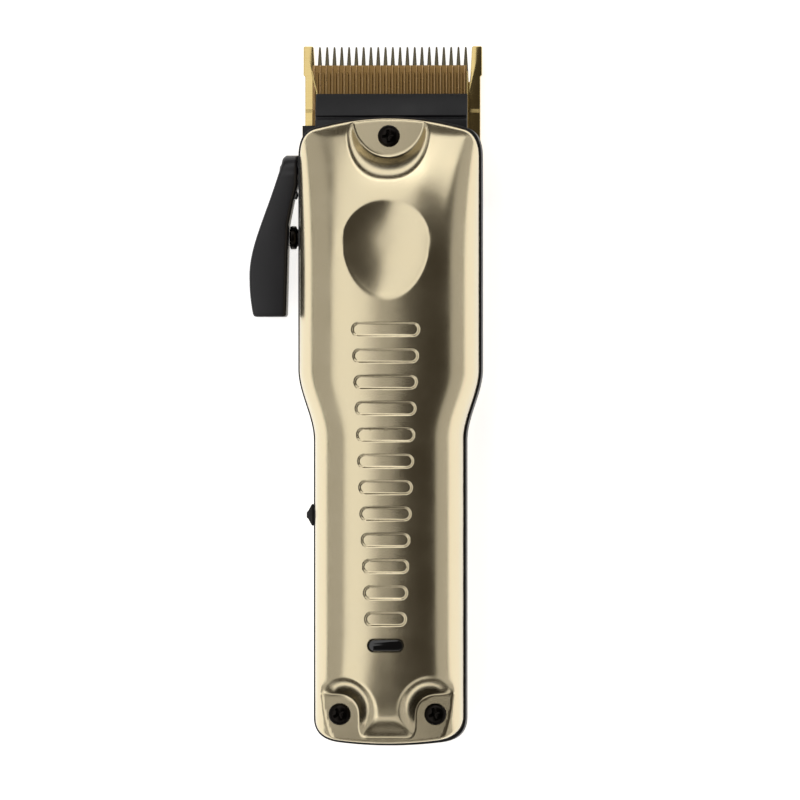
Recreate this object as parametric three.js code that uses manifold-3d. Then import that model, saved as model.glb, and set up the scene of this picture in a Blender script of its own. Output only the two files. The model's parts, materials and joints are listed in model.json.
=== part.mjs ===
// A cordless hair clipper, in millimetres. It lies on its back: +Z comes out of the front cover,
// +Y points to the blade tips, +X to the right. The origin is on the flat rear face, on the
// centre line, near the middle of the length.

import * as THREE from "three";
import { mergeVertices } from "three/addons/utils/BufferGeometryUtils.js";
import Module from "manifold-3d";

const wasm = await Module();
wasm.setup();

// ---------------------------------------------------------------- driving dimensions

// Body, seen from the front
const bladeWidth = 44.75; // fixed blade, side to side
const shoulderY = 6; // the head's straight sides start here
const headLength = 62.6; // from the shoulder to the top of the arched edge
const gripLength = 93.4; // from the shoulder to the bottom end
const shoulderLength = 17.6; // the curve between the head and the grip
const cellSide = 8.105; // battery cell to the inside of the grip's cover
const archDrop = 2.7; // the arched top edge falls this much at its ends
const topCorner = 3.9; // size of the corners beside the arched edge, across
const topCornerFall = 7.4; // and along
const bottomCorner = 6.3;
const bottomBow = 0.8; // the bottom edge bulges this much

// Body, seen from the side
const rearDepth = 8.7; // rear cover
const frameDepth = 6.7; // dark mid frame between the two covers
const headFall = 12; // the front cover slopes down to its top edge by this much
const headSlope = 38.6; // over this length
const tailFall = 5.5; // and to its bottom edge by this much
const tailSlope = 27.4;
const crownPower = 2.8; // exponent of the cover's rounded section
const rearRound = 3.2; // rounding along the rear face's edge

// Walls and clearances
const wall = 1.6; // covers
const frameWall = 2.2; // mid frame
const frameProud = 0.5; // the mid frame stands out past the covers
const gap = 0.3; // between pieces that touch

// Front cover details
const padFall = 0.3; // the top screw's pad lies this far under the top edge
const padRadius = 9.3;
const padSlope = 0.67; // the pad's wall spreads this much for each mm of height
const padScrewInset = 4.4; // top edge to screw
const seatShare = 0.5625; // height of the bottom screw seats in the front cover's height
const seatRadius = 5.2; // around each bottom screw
const seatSlope = 0.62;
const bottomScrewX = 11.95;
const bottomScrewInset = 7.3;
const tongueInset = 5.4; // the tongue between the seats ends this far from the bottom
const dimple = { inset: 30.5, half: 10.9, up: 9.85, down: 14.6, depth: 2.2 };
const grip = { count: 12, first: 52.9, pitch: 6.56, width: 17.1, taper: 0.6, height: 3.65, depth: 0.8 };
const windowWidth = 9.3;
const windowHeight = 3.5;

// Screws
const coverScrew = { head: 2.75, rise: 1.5, shank: 1.3 };
const smallScrew = { head: 1.9, rise: 1.1, shank: 0.9 };

// Blades and guard
const bladeReach = 18.5; // tips past the top of the cover
const bladeThickness = 2.2;
const bladeRear = 3; // rear face of the fixed blade above the rear face of the body
const toothPitch = 1.83;
const toothLength = 9;
const sideBar = 2.6;
const cutterInset = 2.725; // the cutter's sides lie this far inside the fixed blade's
const cutterThickness = 1.5;
const cutterSetback = 4.8; // behind the fixed blade's tips
const cutterBar = 0.7;
const cutterPitch = 1.51;
const cutterTravel = 1.2; // each way
const guardInset = 3.375; // the guard's sides inside the fixed blade's
const guardDepth = 4.3;
const guardReach = 6.5; // past the top of the cover

// Taper lever
const leverInset = 13; // pivot behind the cover's top edge
const leverHeight = 12; // pivot above the rear face
const leverThickness = 8.6; // fore and aft of the paddle, along Z
const leverReach = 36.4; // pivot to the paddle's end
const leverSwell = 11.8; // the paddle's outer face past the body side
const leverStandoff = 2.6; // its inner face past the body side
const camThrow = 3; // pin from the cam's centre
const camSwing = 38; // degrees, also the lever's travel
const camPin = 1; // radius
const plungerDrop = 5.9; // plunger behind the pivot
const knobDrop = 16.6; // stop knob behind the pivot

// Drive
const motorDiameter = 21;
const motorLength = 32;
const driveFloor = 2.9; // under the motor or the cell, whichever is thicker
const motorRoof = 2.7; // between the motor and the wall of the thumb hollow
const shaftRadius = 1.15;
const crankThrow = 1.2;
const crankPinRadius = 1;
const bearingRadius = 2.2;
const bearingLength = 3.4;

// Power
const cellDiameter = 17.6;
const cellLength = 52;
const boardLift = 1.2; // board above the cell
const boardThickness = 1.2;
const boardRoof = 0.8654; // between the board's screws and the front cover
const boardMargin = 1.8; // board screw to the board's side
const boardPost = 1.9;
const boardLength = 56;
const jackRadius = 4; // half of the jack's square housing
const jackNose = 2.4;
const jackBore = 1.75;
const jackLength = 10;

// Power switch
const switchDrop = 36.3; // centre of the nub below the shoulder
const switchBase = 5.4;
const switchTip = 1.5;
const switchProud = 1.9;
const switchTravel = 3;

// ---------------------------------------------------------------- values that follow

const topY = shoulderY + headLength;
const bottomY = shoulderY - gripLength;
const waistY = shoulderY - shoulderLength;
const headHalf = bladeWidth / 2 + 0.03;
const gripHalf = cellDiameter / 2 + cellSide + wall;
const cutterWidth = bladeWidth - 2 * cutterInset;
const guardWidth = bladeWidth - 2 * guardInset;
const toothCount = Math.floor((bladeWidth - 2 * sideBar) / toothPitch);
const cutterTeeth = Math.floor((cutterWidth - 2 * cutterBar) / cutterPitch);
const motorHeight = Math.max(motorDiameter, cellDiameter) / 2 + wall + driveFloor; // shaft
const frameZ = rearDepth + gap;
const frameTop = frameZ + frameDepth;
const splitZ = frameTop + gap; // lower edge of the front cover
const boardZ = motorHeight + cellDiameter / 2 + boardLift;
const boardTopZ = boardZ + boardThickness;
const boardScrewX = cellDiameter / 2 + boardPost + 0.5;
const screwAcross = (boardScrewX + smallScrew.head + gap) / (gripHalf - wall);
const roofShare = (1 - screwAcross ** crownPower) ** (1 / crownPower); // the roof's height there
const bodyDepth = Math.max( // rear face to the highest point of the front cover
  splitZ + wall + (boardTopZ + boardRoof - splitZ) / roofShare,
  motorHeight + motorDiameter / 2 + motorRoof + dimple.depth + wall,
);
const padZ = bodyDepth - headFall - padFall;
const seatZ = splitZ + seatShare * (bodyDepth - splitZ);
const padScrewY = topY - padScrewInset;
const bottomScrewY = bottomY + bottomScrewInset;
const bladeTipY = topY + bladeReach;
const bladeTop = bladeRear + bladeThickness;
const cutterZ = bladeTop + gap;
const cutterTop = cutterZ + cutterThickness;
const cutterTipY = bladeTipY - cutterSetback;
const guardZ = cutterTop + 0.4;
const guardTop = guardZ + guardDepth;
const leverY = topY - leverInset;
const sideX = headHalf + frameProud; // outside of the mid frame beside the head

// ---------------------------------------------------------------- helpers

/** A closed three.js geometry as a manifold solid, turned right side out. */
function solid(geometry) {
  const plain = (geometry.index ? geometry.toNonIndexed() : geometry).clone();
  for (const name of Object.keys(plain.attributes)) {
    if (name !== "position") plain.deleteAttribute(name);
  }
  const merged = mergeVertices(plain, 1e-4);
  const triVerts = new Uint32Array(merged.index.array);
  const vertProperties = new Float32Array(merged.attributes.position.array);
  const made = new wasm.Manifold(new wasm.Mesh({ numProp: 3, vertProperties, triVerts }));
  if (made.volume() > 0) return made;
  for (let i = 0; i < triVerts.length; i += 3) {
    [triVerts[i + 1], triVerts[i + 2]] = [triVerts[i + 2], triVerts[i + 1]];
  }
  return new wasm.Manifold(new wasm.Mesh({ numProp: 3, vertProperties, triVerts }));
}

/** A manifold solid as a three.js geometry with flat normals. */
function geometryOf(made) {
  const mesh = made.getMesh();
  const positions = new Float32Array(mesh.numVert * 3);
  for (let i = 0; i < mesh.numVert; i++) {
    positions.set(mesh.vertProperties.subarray(i * mesh.numProp, i * mesh.numProp + 3), i * 3);
  }
  const geometry = new THREE.BufferGeometry();
  geometry.setAttribute("position", new THREE.BufferAttribute(positions, 3));
  geometry.setIndex(new THREE.BufferAttribute(new Uint32Array(mesh.triVerts), 1));
  const flat = geometry.toNonIndexed();
  flat.computeVertexNormals();
  return flat;
}

const join = (first, ...rest) => rest.reduce((sum, next) => sum.add(next), first);
const cut = (first, ...rest) => rest.reduce((left, next) => left.subtract(next), first);

/** A box between two corners. */
function block(x0, x1, y0, y1, z0, z1) {
  const box = new THREE.BoxGeometry(x1 - x0, y1 - y0, z1 - z0);
  return solid(box.translate((x0 + x1) / 2, (y0 + y1) / 2, (z0 + z1) / 2));
}

/** A flat outline in X and Y, raised from z0 to z1. */
function plate(shape, z0, z1, curveSegments = 8) {
  const raised = new THREE.ExtrudeGeometry(shape, { depth: z1 - z0, bevelEnabled: false, curveSegments });
  return solid(raised.translate(0, 0, z0));
}

/** A turned piece: the profile is [radius, distance along the axis], and the axis is x, y or z. */
function turned(profile, axis = "z", sides = 20) {
  const points = profile.map(([r, h]) => new THREE.Vector2(r, h));
  const lathe = new THREE.LatheGeometry(points, sides);
  if (axis === "z") lathe.rotateX(Math.PI / 2);
  if (axis === "x") lathe.rotateZ(-Math.PI / 2);
  return lathe;
}

/** A plain round bar from one distance to another along an axis through (a, b). */
function bar(radius, from, to, axis, a, b, sides = 14) {
  const made = turned([[0, from], [radius, from], [radius, to], [0, to]], axis, sides);
  if (axis === "x") return solid(made.translate(0, a, b));
  if (axis === "y") return solid(made.translate(a, 0, b));
  return solid(made.translate(a, b, 0));
}

/** A body through rings of points, all of the same count, closed with flat ends. */
function loft(rings, flatten) {
  const count = rings[0].length;
  const positions = rings.flat().flatMap((p) => [p.x, p.y, p.z]);
  const index = [];
  for (let r = 0; r + 1 < rings.length; r++) {
    for (let i = 0; i < count; i++) {
      const a = r * count + i;
      const b = r * count + ((i + 1) % count);
      index.push(a, b, b + count, a, b + count, a + count);
    }
  }
  const last = (rings.length - 1) * count;
  const flat = rings[0].map(flatten);
  const clockwise = THREE.ShapeUtils.isClockWise(flat);
  for (const [a, p, q] of THREE.ShapeUtils.triangulateShape(flat, [])) {
    const [b, c] = clockwise ? [q, p] : [p, q];
    index.push(a, c, b);
    index.push(last + a, last + b, last + c);
  }
  const geometry = new THREE.BufferGeometry();
  geometry.setAttribute("position", new THREE.Float32BufferAttribute(positions, 3));
  geometry.setIndex(index);
  return solid(geometry);
}

/** A round wire along a smooth path. */
function wire(points, radius, steps, sides = 8) {
  const section = new THREE.Shape();
  for (let i = 0; i < sides; i++) {
    const a = (2 * Math.PI * i) / sides;
    if (i === 0) section.moveTo(radius, 0);
    else section.lineTo(radius * Math.cos(a), radius * Math.sin(a));
  }
  const extrudePath = new THREE.CatmullRomCurve3(points.map((p) => new THREE.Vector3(...p)));
  return new THREE.ExtrudeGeometry(section, { steps, extrudePath, bevelEnabled: false });
}

/** Adds one named piece to a group. */
function piece(group, name, shape, finish, x = 0, y = 0, z = 0) {
  const geometry = shape.isBufferGeometry ? shape : geometryOf(shape);
  const mesh = new THREE.Mesh(geometry, new THREE.MeshStandardMaterial(finish));
  mesh.name = name;
  mesh.position.set(x, y, z);
  group.add(mesh);
  return mesh;
}

const finishes = {
  champagne: { color: 0xc6bb98, roughness: 0.28, metalness: 1 },
  titaniumGold: { color: 0xdcc684, roughness: 0.25, metalness: 1 },
  bronze: { color: 0x8c6242, roughness: 0.35, metalness: 1 },
  blackNylon: { color: 0x222226, roughness: 0.5, metalness: 0 },
  blackPiano: { color: 0x0c0c0e, roughness: 0.08, metalness: 0 },
  blackSteel: { color: 0x1c1816, roughness: 0.35, metalness: 0.8 },
  steel: { color: 0xb4b6ba, roughness: 0.3, metalness: 1 },
  nickel: { color: 0xc8c4b8, roughness: 0.25, metalness: 1 },
  brass: { color: 0xc79c4a, roughness: 0.3, metalness: 1 },
  copper: { color: 0xa8623a, roughness: 0.35, metalness: 1 },
  ferrite: { color: 0x3a3a3c, roughness: 0.7, metalness: 0 },
  whiteNylon: { color: 0xe4e2da, roughness: 0.5, metalness: 0 },
  greenBoard: { color: 0x1e5a36, roughness: 0.4, metalness: 0 },
  cellWrap: { color: 0x3c6ea8, roughness: 0.35, metalness: 0 },
  foam: { color: 0x55555a, roughness: 0.95, metalness: 0 },
  ledClear: { color: 0xe8eef4, roughness: 0.1, metalness: 0 },
  redWire: { color: 0xa8201c, roughness: 0.5, metalness: 0 },
  blackWire: { color: 0x18181a, roughness: 0.5, metalness: 0 },
};

// ---------------------------------------------------------------- shape of the body

/** Half of the covers' width at a place along the body. */
function halfWidth(y) {
  return gripHalf + (headHalf - gripHalf) * THREE.MathUtils.smoothstep(y, waistY, shoulderY);
}

/** Height of the front cover on the centre line. */
function crown(y) {
  const head = Math.max(0, (y - topY + headSlope) / headSlope);
  const tail = Math.max(0, (bottomY + tailSlope - y) / tailSlope);
  return bodyDepth - headFall * head ** 2 - tailFall * tail ** 2;
}

/** Height of the front cover's outer surface. */
function coverHeight(x, y) {
  const across = Math.min(1, Math.abs(x) / halfWidth(y)) ** crownPower;
  return splitZ + (crown(y) - splitZ) * (1 - across) ** (1 / crownPower);
}

/** The body's outline from the front, drawn inside the covers' edge by an inset. */
function outline(inset) {
  const head = headHalf - inset;
  const handle = gripHalf - inset;
  const arch = { x: head - topCorner, y: topY - inset - archDrop };
  const archLean = (2 * archDrop * topCorner) / arch.x;
  const foot = { x: handle - bottomCorner, y: bottomY + inset + bottomBow };
  const footLean = (2 * bottomBow * bottomCorner) / foot.x;
  const shoulderSteps = 8;
  const shoulder = Array.from({ length: shoulderSteps + 1 }, (_, i) => {
    const y = waistY + (shoulderLength * i) / shoulderSteps;
    return [halfWidth(y) - inset, y];
  });
  const shape = new THREE.Shape();
  shape.moveTo(-foot.x, foot.y);
  shape.quadraticCurveTo(0, bottomY + inset - bottomBow, foot.x, foot.y);
  shape.quadraticCurveTo(handle, foot.y + footLean, handle, foot.y + bottomCorner);
  shoulder.forEach(([x, y]) => shape.lineTo(x, y));
  shape.lineTo(head, arch.y - topCornerFall);
  shape.quadraticCurveTo(head, arch.y - archLean, arch.x, arch.y);
  shape.quadraticCurveTo(0, topY - inset + archDrop, -arch.x, arch.y);
  shape.quadraticCurveTo(-head, arch.y - archLean, -head, arch.y - topCornerFall);
  shoulder.reverse().forEach(([x, y]) => shape.lineTo(-x, y));
  shape.lineTo(-handle, foot.y + bottomCorner);
  shape.quadraticCurveTo(-handle, foot.y + footLean, -foot.x, foot.y);
  return shape;
}

/** The inset outline as a ring of points at one height. */
function outlineRing(inset, z) {
  return outline(inset).getPoints(8).slice(0, -1).map((p) => new THREE.Vector3(p.x, p.y, z));
}

/** The space under the crowned surface, drawn inside it by an inset, down to a floor. */
function crowned(inset, floor) {
  const stations = 18;
  const arcSteps = 12;
  const rings = [];
  for (let i = 0; i <= stations; i++) {
    const y = bottomY - 1 + ((topY - bottomY + 2) * i) / stations;
    const half = halfWidth(y) - inset;
    const rise = crown(y) - inset - splitZ;
    const ring = [];
    for (let k = 0; k <= arcSteps; k++) {
      const a = (Math.PI * k) / arcSteps;
      const c = Math.cos(a);
      const x = half * Math.sign(c) * Math.abs(c) ** (2 / crownPower);
      ring.push(new THREE.Vector3(x, y, splitZ + rise * Math.sin(a) ** (2 / crownPower)));
    }
    if (floor < splitZ) {
      ring.push(new THREE.Vector3(-half, y, floor), new THREE.Vector3(half, y, floor));
    }
    rings.push(ring);
  }
  const body = loft(rings, (p) => new THREE.Vector2(p.x, p.z));
  return body.intersect(plate(outline(inset), floor - 1, bodyDepth + 1));
}

/** The recess with sloping walls around the top screw. */
function padRecess(grow = 0) {
  const height = bodyDepth - padZ + 3;
  const radius = padRadius + grow;
  const cone = turned([[0, 0], [radius, 0], [radius + padSlope * height, height], [0, height]], "z", 28);
  return solid(cone.translate(0, topY - 0.2, padZ - grow));
}

/** The recess around one bottom screw, open to the side and the bottom. */
function seatRecess(side, grow = 0) {
  const rings = [0, bodyDepth - seatZ + 3].map((height) => {
    const radius = seatRadius + grow + seatSlope * height;
    const far = side * (gripHalf + 3);
    const z = seatZ - grow + height;
    const ring = [new THREE.Vector3(far, bottomScrewY + radius, z)];
    for (let k = 0; k <= 8; k++) {
      const a = Math.PI / 2 + (Math.PI * k) / 16;
      ring.push(new THREE.Vector3(
        side * (bottomScrewX + radius * Math.cos(a)), bottomScrewY + radius * Math.sin(a), z));
    }
    ring.push(new THREE.Vector3(side * (bottomScrewX - radius), bottomY - 3, z));
    ring.push(new THREE.Vector3(far, bottomY - 3, z));
    return ring;
  });
  return loft(rings, (p) => new THREE.Vector2(p.x, p.y));
}

/** The slope that ends the tongue between the two seats. */
function tongueSlope(grow = 0) {
  const foot = bottomY + 1.4;
  const rise = bodyDepth - seatZ;
  const run = (tongueInset - 1.4) * (rise / (rise - tailFall + 2));
  const rings = [-bottomScrewX, bottomScrewX].map((x) => [
    new THREE.Vector3(x, bottomY - 3, seatZ - grow),
    new THREE.Vector3(x, foot + grow, seatZ - grow),
    new THREE.Vector3(x, foot + run + grow, seatZ + rise),
    new THREE.Vector3(x, bottomY - 3, seatZ + rise),
  ]);
  return loft(rings, (p) => new THREE.Vector2(p.y, p.z));
}

/** The egg-shaped thumb hollow, sunk evenly into the crowned surface. */
function thumbHollow(grow = 0) {
  const ball = new THREE.SphereGeometry(1, 20, 8);
  const place = ball.attributes.position;
  const middle = topY - dimple.inset;
  for (let i = 0; i < place.count; i++) {
    const along = place.getY(i) * ((place.getY(i) > 0 ? dimple.up : dimple.down) + grow);
    const x = place.getX(i) * (dimple.half + grow);
    const y = middle + along;
    place.setXYZ(i, x, y, coverHeight(x, y) + place.getZ(i) * (dimple.depth + grow));
  }
  return solid(ball);
}

/** A shallow recess with round ends, sunk into the crowned surface or right through it. */
function pillRecess(y, width, height, depth) {
  const radius = height / 2;
  const endSteps = 4;
  const ends = [];
  for (const side of [1, -1]) {
    for (let k = 0; k <= endSteps; k++) {
      const a = -Math.PI / 2 + (Math.PI * k) / endSteps;
      ends.push([side * (width / 2 - radius + radius * Math.cos(a)), y + side * radius * Math.sin(a)]);
    }
  }
  const rings = [-depth, 2].map((lift) =>
    ends.map(([x, at]) => new THREE.Vector3(x, at, coverHeight(x, at) + lift)));
  return loft(rings, (p) => new THREE.Vector2(p.x, p.y));
}

const gripY = (i) => topY - grip.first - grip.pitch * i;
const windowY = gripY(grip.count);

/** Outer surfaces that the cover and what lies under it share. */
function coverRecesses(grow) {
  return join(padRecess(grow), seatRecess(1, grow), seatRecess(-1, grow), tongueSlope(grow));
}

/** Gold front cover: a crowned shell with the grip recesses, the window and three screw holes. */
function frontCover() {
  const hollow = crowned(wall, splitZ - 2).subtract(coverRecesses(wall)).subtract(thumbHollow(wall));
  const pills = Array.from({ length: grip.count }, (_, i) =>
    pillRecess(gripY(i), grip.width - grip.taper * i, grip.height, grip.depth));
  const hole = coverScrew.shank + gap;
  return cut(
    crowned(0, splitZ),
    hollow,
    coverRecesses(0),
    thumbHollow(),
    ...pills,
    pillRecess(windowY, windowWidth, windowHeight, wall * 3),
    bar(hole, frameTop, bodyDepth, "z", 0, padScrewY),
    bar(hole, frameTop, bodyDepth, "z", bottomScrewX, bottomScrewY),
    bar(hole, frameTop, bodyDepth, "z", -bottomScrewX, bottomScrewY),
  );
}

// ---------------------------------------------------------------- places inside the body

const bladeRootY = topY - 18.6;
const carriageTravel = 2 * camThrow * Math.sin(THREE.MathUtils.degToRad(camSwing / 2));
const carriageRearY = bladeRootY + 0.2;
const rearTopY = bladeRootY - carriageTravel - 0.6; // upper end of the rear cover
const innerSide = headHalf - frameWall; // inside of the mid frame beside the head
const cheekZ = bladeTop + 0.4;
const cheekInner = innerSide - 0.1;
const cutterRearY = topY - 9.2;
const guardRearY = topY - 6;
const deckEndY = topY - 12.6;
const deckThickness = 1.2;
const frameMiddleZ = frameZ + frameDepth / 2;
const camDisc = camThrow + camPin + 0.1;
const discSide = -cheekInner + 0.2; // the cam's disc runs inside the cheek
const discThickness = 1.5;
const earX = discSide + discThickness + gap; // the carriage's ear runs inside the disc
const earThickness = 2;
const journal = 2.5; // radius of the lever's axle in the mid frame
const guardScrew = { x: guardWidth / 2 - 6.5, y: topY - 4.7 };
const rearScrew = { headX: headHalf - 6.9, headY: topY - 28.6, tailY: bottomY + 17.4 };
const motorFrontY = topY - 26.6;
const motorRearY = motorFrontY - motorLength;
const bracketY = motorFrontY + gap;
const bracketThickness = 1.5;
const motorScrewX = motorDiameter / 2 - 3.5;
const bracketScrewX = headHalf - 5.9;
const ribY = bracketY + bracketThickness + gap;
const capDepth = 4.7;
const capRearY = motorRearY - capDepth;
const midRibY = capRearY - 8;
const cellTopY = midRibY - 5;
const cellBottomY = cellTopY - cellLength;
const cellZ = motorHeight;
const boardTopY = cellTopY - 6;
const boardRearY = boardTopY - boardLength;
const switchY = shoulderY - switchDrop;
const switchNeck = { along: 4.8, across: 3.4 };
const jackRearY = bottomY + frameWall + gap;
const postRadius = padScrewInset - wall - gap; // posts that take the cover screws

/** Gold rear cover: an open tray with a flat face to lie on, and bosses for its three screws. */
function rearCover() {
  const roundSteps = 3;
  const rings = Array.from({ length: roundSteps + 1 }, (_, k) => {
    const a = (Math.PI / 2) * (k / roundSteps);
    return outlineRing(rearRound * (1 - Math.sin(a)), rearRound * (1 - Math.cos(a)));
  });
  rings.push(outlineRing(0, rearDepth));
  const trimmed = loft(rings, (p) => new THREE.Vector2(p.x, p.y)).intersect(
    block(-headHalf - 1, headHalf + 1, bottomY - 1, rearTopY, -1, rearDepth + 1));
  const hollow = plate(outline(wall), wall, rearDepth + 1).intersect(
    block(-headHalf, headHalf, bottomY, rearTopY - wall, 0, rearDepth + 2));
  const screws = rearScrewPlaces();
  return cut(
    join(cut(trimmed, hollow), ...screws.map(([x, y]) => bar(3.4, wall / 2, rearDepth, "z", x, y))),
    ...screws.map(([x, y]) => bar(smallScrew.head + gap, -1, smallScrew.rise + 0.9, "z", x, y)),
    ...screws.map(([x, y]) => bar(smallScrew.shank + gap, 0, rearDepth + 1, "z", x, y)),
  );
}

function rearScrewPlaces() {
  return [
    [-rearScrew.headX, rearScrew.headY],
    [rearScrew.headX, rearScrew.headY],
    [0, rearScrew.tailY],
  ];
}

/** Dark mid frame: the band between the covers, with everything that the works are fixed to. */
function midFrame() {
  const band = cut(
    plate(outline(-frameProud), frameZ, frameTop),
    plate(outline(frameWall), frameZ - 1, frameTop + 1),
  );
  const beside = (side, inner, y0, y1, z) => {
    const edges = [side * inner, side * (headHalf - 0.1)].sort((a, b) => a - b);
    return block(...edges, y0, y1, z, frameZ + 1);
  };
  const across = (y0, y1, inset = 0.8) => {
    const half = Math.min(halfWidth(y0), halfWidth(y1)) - inset;
    return block(-half, half, y0, y1, frameZ, frameTop);
  };
  const deckZ = frameZ + deckThickness;
  const camSide = earX + earThickness + 2 * gap + 0.3;
  const discRearY = leverY - camDisc - 0.6;
  const arm = 1.7;
  const pieces = [
    beside(-1, cheekInner, rearTopY + gap, cutterRearY - 0.5, cheekZ),
    beside(1, cheekInner, rearTopY + gap, cutterRearY - 0.5, cheekZ),
    beside(-1, guardWidth / 2 + gap, cutterRearY - 1.5, topY - 1.5, guardZ),
    block(-innerSide - 1, innerSide + 1, rearTopY + gap, discRearY, frameZ, deckZ),
    block(camSide, innerSide + 1, discRearY - 1, deckEndY, frameZ, deckZ),
    bar(postRadius, guardTop + gap, padZ - wall - gap, "z", 0, padScrewY),
    block(-2.5, 2.5, padScrewY, topY - 1, guardTop + gap, frameTop),
    ...[-1, 1].flatMap((side) => [
      lug(side * guardScrew.x, 3.2, guardScrew.y - 1.8, topY - 2, guardTop + gap, guardTop + gap + 1.3),
      bar(postRadius, frameZ, seatZ - wall - gap, "z", side * bottomScrewX, bottomScrewY),
      lug(side * (bottomScrewX + gripHalf - 1) / 2, (gripHalf - 1 - bottomScrewX) / 2,
        bottomScrewY - arm, bottomScrewY + arm, frameZ, frameTop),
      lug(side * (rearScrew.headX + 2.2), 5, rearScrew.headY - arm, rearScrew.headY + arm, frameZ, frameZ + 4),
      lug(side * (bracketScrewX + 1.2), 4.4, ribY, ribY + 2, frameZ, frameTop),
    ]),
    ...boardScrewPlaces().flatMap(([x, y]) => [
      bar(boardPost, frameZ, boardZ - gap, "z", x, y),
      lug(Math.sign(x) * (gripHalf - 4.2), 3.2, y - boardPost, y + boardPost, frameZ, frameZ + 3),
    ]),
    lug(-gripHalf + 5.4, 4, switchY - 7, switchY + 7, frameZ, frameZ + 1),
    across(midRibY, midRibY + 2),
    across(rearScrew.tailY - 1.8, rearScrew.tailY + 1.8),
  ];
  const shank = smallScrew.shank + gap;
  const far = sideX + 1;
  return cut(
    join(band, ...pieces),
    block(-guardWidth / 2 - gap, guardWidth / 2 + gap, guardRearY - 0.5, topY + 2, frameZ - 1, guardTop + gap),
    bar(coverScrew.shank + gap, guardTop, padZ, "z", 0, padScrewY),
    ...[-1, 1].flatMap((side) => [
      bar(coverScrew.shank + gap, frameZ - 1, seatZ, "z", side * bottomScrewX, bottomScrewY),
      bar(shank, guardTop, frameTop, "z", side * guardScrew.x, guardScrew.y),
      bar(smallScrew.head + gap, guardTop + gap + 1.3, frameTop + 1, "z", side * guardScrew.x, guardScrew.y),
      bar(shank, ribY - 1, ribY + 3, "y", side * bracketScrewX, frameMiddleZ),
    ]),
    ...rearScrewPlaces().map(([x, y]) => bar(shank, frameZ - 1, frameTop + 1, "z", x, y)),
    ...boardScrewPlaces().map(([x, y]) => bar(shank, boardZ - 8, boardZ, "z", x, y)),
    bar(journal + gap, -far, -innerSide + 1, "x", leverY, leverHeight),
    bar(camDisc + gap, discSide - 0.1, earX + earThickness, "x", leverY, leverHeight),
    bar(1.2 + gap, -far, -innerSide + 1, "x", leverY - knobDrop, frameMiddleZ),
    bar(jackNose + gap, bottomY - 2, bottomY + frameWall + 1, "y", 0, frameMiddleZ),
    switchSlot(),
  );
}

/** A block around a middle in X. */
function lug(middle, half, y0, y1, z0, z1) {
  return block(middle - half, middle + half, y0, y1, z0, z1);
}

/** The slot that the power switch's neck slides in. */
function switchSlot() {
  const along = switchNeck.along / 2 + gap;
  const across = switchNeck.across / 2 + gap;
  return block(-gripHalf - 3, -gripHalf + frameWall + 1, switchY - along, switchY + switchTravel + along,
    frameMiddleZ - across, frameMiddleZ + across);
}

// ---------------------------------------------------------------- fasteners

/** A domed screw, its head up, with the underside of the head at zero; one that shows has a cross. */
function screw({ head, rise, shank }, length, shows) {
  const body = turned([
    [0, -length],
    [shank, -length],
    [shank, 0],
    [head, 0],
    [head, rise * 0.35],
    [head * 0.72, rise * 0.85],
    [0, rise],
  ], "z", shows ? 18 : 10);
  if (!shows) return solid(body);
  const arm = head * 0.62;
  const slot = head * 0.15;
  return cut(
    solid(body),
    block(-arm, arm, -slot, slot, rise * 0.35, rise + 1),
    block(-slot, slot, -arm, arm, rise * 0.35, rise + 1),
  );
}

const seatGap = 0.1; // under a screw's head

/** Places a screw with its head facing up, down, or along an axis. */
function placeScrew(group, name, size, length, facing, x, y, z, shows = false) {
  const turns = { up: [0, 0], down: [Math.PI, 0], top: [-Math.PI / 2, 0], left: [0, -Math.PI / 2] };
  const mesh = piece(group, name, screw(size, length, shows), finishes.blackSteel, x, y, z);
  mesh.rotation.set(turns[facing][0], turns[facing][1], 0);
}

// ---------------------------------------------------------------- blades

/** A comb's outline: two side bars, and teeth that narrow from their roots to their tips. */
function comb({ width, rear, tip, count, pitch, root, point, length, bar: side, barTip = tip }) {
  const shape = new THREE.Shape();
  const half = width / 2;
  const valley = tip - length;
  shape.moveTo(-half, rear);
  shape.lineTo(half, rear);
  shape.lineTo(half, barTip);
  shape.lineTo(half - side, barTip);
  shape.lineTo(half - side, valley);
  for (let i = count - 1; i >= 0; i--) {
    const x = (i - (count - 1) / 2) * pitch;
    shape.lineTo(x + root / 2, valley);
    shape.lineTo(x + point / 2, tip);
    shape.lineTo(x - point / 2, tip);
    shape.lineTo(x - root / 2, valley);
  }
  shape.lineTo(-half + side, valley);
  shape.lineTo(-half + side, barTip);
  shape.lineTo(-half, barTip);
  return shape;
}

/** A wedge across the whole head, for grinding a blade's face down towards its tips. */
function grind(y0, y1, z0, z1, far) {
  const rings = [-sideX - 3, sideX + 3].map((x) => [
    new THREE.Vector3(x, y0, z0),
    new THREE.Vector3(x, y1, z1),
    new THREE.Vector3(x, y1, far),
    new THREE.Vector3(x, y0, far),
  ]);
  return loft(rings, (p) => new THREE.Vector2(p.y, p.z));
}

const bladeScrewX = 12;
const bladeScrewY = bladeRootY + 3.5;
const carriageHalf = cheekInner - 0.4;
const carriageTop = cutterZ + cutterThickness;
const carriageEndY = topY - 11.6;
const yokeX = -0.7; // the cutter and its yoke stand this far left of the middle

/** Gold fixed blade: a toothed plate, ground thin underneath towards the tips. */
function fixedBlade() {
  const shape = comb({
    width: bladeWidth, rear: bladeRootY, tip: bladeTipY, count: toothCount, pitch: toothPitch,
    root: toothPitch * 0.72, point: 0.45, length: toothLength, bar: sideBar,
  });
  const holes = [-bladeScrewX, bladeScrewX].map((x) =>
    bar(smallScrew.shank + gap, 0, bladeTop + 1, "z", x, bladeScrewY, 16));
  return cut(
    plate(shape, bladeRear, bladeTop),
    grind(bladeTipY - 14, bladeTipY + 1, bladeRear, bladeRear + 1.5, bladeRear - 2),
    ...holes,
  );
}

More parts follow.
